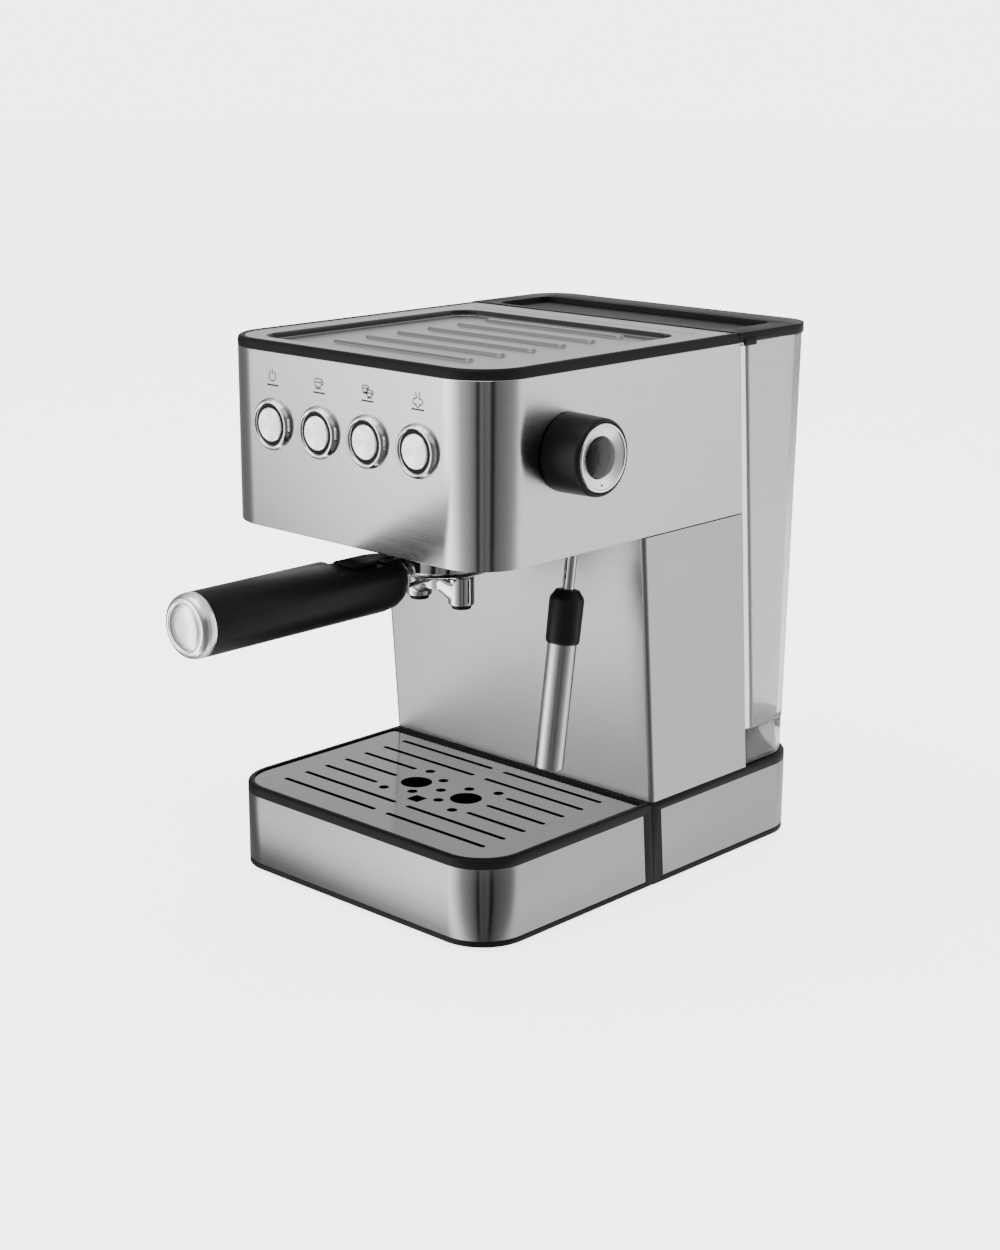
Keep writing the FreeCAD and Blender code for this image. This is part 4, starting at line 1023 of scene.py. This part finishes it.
def spout():
    """The cast spout: a hub under the cup that sweeps out and down into two nozzles."""
    low, high = box_of("twin_spout")
    top, tip = high.z, low.z
    bm = bmesh.new()
    stations = 28
    ring_sides = 28
    reach = 16.6
    power = 0.6
    rings = []
    for step in range(stations + 1):
        x = -reach + 2 * reach * step / stations
        share = abs(x) / reach
        upper = top - 1.6 * step_up((share - 0.5) / 0.5)
        lower = top - 11.5 - 5.5 * step_up((share - 0.1) / 0.8)
        half_y = 9.6 - 2.0 * share
        middle, half_z = (upper + lower) / 2, (upper - lower) / 2
        ring = []
        for side in range(ring_sides):
            turn = 2 * math.pi * side / ring_sides
            y = math.copysign(abs(math.cos(turn)) ** power, math.cos(turn)) * half_y
            z = math.copysign(abs(math.sin(turn)) ** power, math.sin(turn)) * half_z
            ring.append(bm.verts.new(mm(x, GROUP_Y + y, middle + z)))
        rings.append(ring)
    for ring, following in zip(rings, rings[1:]):
        for side in range(ring_sides):
            after = (side + 1) % ring_sides
            bm.faces.new((ring[side], ring[after], following[after], following[side]))
    bm.faces.new(rings[0])
    bm.faces.new(rings[-1])
    for side in (-1, 1):
        lathe(bm, soften([(0, top - 1.6), (7.4, top - 2.2), (7.5, tip + 2.2), (0, tip + 2.2)], 0.8),
              (side * reach, GROUP_Y, 0), sides=40)
    lathe(bm, [(0, top - 11), (10.4, top - 11), (11, top), (0, top)], (0, GROUP_Y, 0), sides=48)
    blend = helper_object("spout blank", mesh_from(bm, "spout blank"))
    skin = blend.modifiers.new("one casting", "REMESH")
    skin.mode = "VOXEL"
    skin.voxel_size = 0.55 * MM
    flow = blend.modifiers.new("flowing joins", "SMOOTH")
    flow.factor = 0.8
    flow.iterations = 5
    graph = bpy.context.evaluated_depsgraph_get()
    mesh = bpy.data.meshes.new_from_object(blend.evaluated_get(graph))
    bpy.data.objects.remove(blend)
    finish_piece("spout_casting", mesh, "portafilter", chrome, ["twin_spout"], limit=80)
    bm = bmesh.new()
    for side in (-1, 1):
        lathe(bm, soften([(3.2, tip), (5.2, tip), (5.6, tip + 0.8), (5.6, tip + 4), (3.2, tip + 4)], 0.3),
              (side * reach, GROUP_Y, 0), sides=40)
    finish_piece("spout_nozzles", mesh_from(bm, "spout_nozzles"), "portafilter", black_grip,
                 limit=50)


spout()


# --- steam wand -----------------------------------------------------------------------------

PIVOT = Vector((78.0, -42.7, 206.0))
TILT = math.radians(8.1)
DOWN = Vector((0, -math.sin(TILT), -math.cos(TILT)))


def wand_turned(name, profile, material, node, soft=0.5):
    turned(name, profile, PIVOT, DOWN, "steam_wand", material, [node], soft, 64)


wand_turned("wand_pipe", [
    (0, -6), (2.5, -5.45), (4.3, -4.2), (5.5, -2.4), (6, 0), (5.5, 2.4), (4.5, 4.0), (3.4, 5.2), (3.3, 6.2),
    (3.3, 112), (1.6, 112), (1.6, 20), (0, 20)], chrome, "steam_pipe", 0.6)
wand_turned("wand_hand_grip", [
    (3.5, 24.9), (5.9, 24.7), (6.6, 25.0), (9.3, 29.0), (9.62, 30.2), (9.4, 52.8), (8.9, 54.2), (8.2, 54.5),
    (8.15, 49), (3.5, 49)], black_grip, "wand_grip", 0.8)
wand_turned("wand_froth_tube", [
    (3.5, 48.3), (8.05, 48.3), (8.05, 123.9), (7.85, 124.4), (7.4, 124.5), (7.05, 124.2), (7.05, 52), (3.5, 52)],
    sleeve_steel, "froth_sleeve", 0.2)

# --- studio ---------------------------------------------------------------------------------


def floor():
    """A pale floor that glows a little, like a table lit from below."""
    bm = bmesh.new()
    bmesh.ops.create_grid(bm, x_segments=1, y_segments=1, size=8.0)
    mesh = as_mesh(bm, "floor")
    material, tree, shader = new_material("white acrylic table")
    tree.links.new(tint(tree, streaks(tree, (3, 3, 3)), "#f6f6f6", "#fafafa"), shader.inputs["Base Color"])
    shader.inputs["Roughness"].default_value = 0.9
    shader.inputs["Emission Color"].default_value = (1, 1, 1, 1)
    shader.inputs["Emission Strength"].default_value = 3.2
    mesh.materials.append(material)
    ground = bpy.data.objects.new("floor", mesh)
    ground.visible_glossy = False
    bpy.context.collection.objects.link(ground)


# What stands round the machine, as metal sees it: the bearing in degrees from straight ahead towards the
# steam knob, and the brightness there. White screens stand at the left and behind, dark cloth with two
# black stands in it on the camera's side, and a grey wall at the far left.
ROUND = [
    (-180, 1.4), (-140, 1.15), (-130, 1.1), (-115, 0.3), (-90, 0.24), (-68, 0.35), (-60, 0.65), (-54, 1.7),
    (-49, 2.9), (-44, 3.3), (-37, 5.2), (-27, 4.0), (-15, 2.2), (-3, 0.9), (9, 0.62), (20, 0.4), (28, 0.24), (30, 0.0),
    (36, 0.0), (38, 0.36), (45, 0.16), (56, 0.3), (59, 0.0), (65, 0.0), (68, 0.2), (92, 0.36), (105, 0.5),
    (114, 0.8), (122, 1.9), (138, 2.2), (150, 1.8), (180, 1.5)]
# Brightness of the backdrop as the camera sees it, of the room for plain surfaces, and of the ceiling in metal.
BACKDROP, ROOM, CEILING = 4.5, 1.2, 1.1


def studio():
    world = bpy.data.worlds.new("studio")
    bpy.context.scene.world = world
    world.use_nodes = True
    tree = world.node_tree
    way = add(tree, "ShaderNodeTexCoord").outputs["Generated"]
    parts = add(tree, "ShaderNodeSeparateXYZ", {"Vector": way}).outputs
    ahead = add(tree, "ShaderNodeMath", {0: parts["Y"], 1: -1.0}, operation="MULTIPLY").outputs[0]
    bearing = add(tree, "ShaderNodeMath", {0: parts["X"], 1: ahead}, operation="ARCTAN2").outputs[0]
    curve = add(tree, "ShaderNodeFloatCurve", {"Value": add(tree, "ShaderNodeMapRange", {
        "Value": bearing, "From Min": -math.pi, "From Max": math.pi}).outputs["Result"]})
    line = curve.mapping.curves[0]
    top = max(brightness for _, brightness in ROUND)
    for index, (turn, brightness) in enumerate(ROUND):
        at = ((turn + 180) / 360, brightness / top)
        if index in (0, len(ROUND) - 1):
            line.points[0 if index == 0 else -1].location = at
        else:
            line.points.new(*at)
    for point in line.points:
        point.handle_type = "VECTOR"
    curve.mapping.update()
    metal_sees = add(tree, "ShaderNodeMath", {0: curve.outputs["Value"], 1: top}, operation="MULTIPLY").outputs[0]
    overhead = add(tree, "ShaderNodeMapRange", {
        "Value": parts["Z"], "From Min": 0.4, "From Max": 0.7}, interpolation_type="SMOOTHSTEP").outputs["Result"]
    metal_sees = add(tree, "ShaderNodeMix", {"Factor": overhead, 2: metal_sees, 3: CEILING}).outputs[0]
    path = add(tree, "ShaderNodeLightPath").outputs
    soft = add(tree, "ShaderNodeMix", {"Factor": path["Is Glossy Ray"], 2: ROOM, 3: metal_sees}).outputs[0]
    shown = add(tree, "ShaderNodeMix", {"Factor": path["Is Camera Ray"], 2: soft, 3: BACKDROP}).outputs[0]
    tree.links.new(shown, tree.nodes["Background"].inputs["Strength"])
    tree.nodes["Background"].inputs["Color"].default_value = (1, 1, 1, 1)
    lamp_data = bpy.data.lights.new("soft box above", "AREA")
    lamp_data.shape = "RECTANGLE"
    lamp_data.size, lamp_data.size_y = 1.8, 1.8
    lamp_data.energy = 25
    lamp = bpy.data.objects.new("soft box above", lamp_data)
    lamp.location = (-0.3, -0.6, 2.2)
    lamp.rotation_euler = (Vector(lamp.location) - Vector((0, 0, 0.15))).to_track_quat("Z", "Y").to_euler()
    bpy.context.collection.objects.link(lamp)


floor()
studio()

CAMERA_AT = mm(840.56, -912.91, 478.24)
YAW, PITCH_DOWN, ROLL = math.radians(43.17), math.radians(-15.36), math.radians(0.24)
camera_data = bpy.data.cameras.new("camera")
camera_data.lens = 63.15
camera_data.sensor_width = 36.0
camera_data.clip_start = 0.01
camera = bpy.data.objects.new("camera", camera_data)
forward = Vector((
    -math.sin(YAW) * math.cos(PITCH_DOWN), math.cos(YAW) * math.cos(PITCH_DOWN), math.sin(PITCH_DOWN)))
level = Vector((math.cos(YAW), math.sin(YAW), 0))
upright = level.cross(forward)
right = level * math.cos(ROLL) + upright * math.sin(ROLL)
up = upright * math.cos(ROLL) - level * math.sin(ROLL)
camera.matrix_world = Matrix.Translation(CAMERA_AT) @ Matrix(
    (right, up, -forward)).transposed().to_4x4()
bpy.context.collection.objects.link(camera)
bpy.context.scene.camera = camera
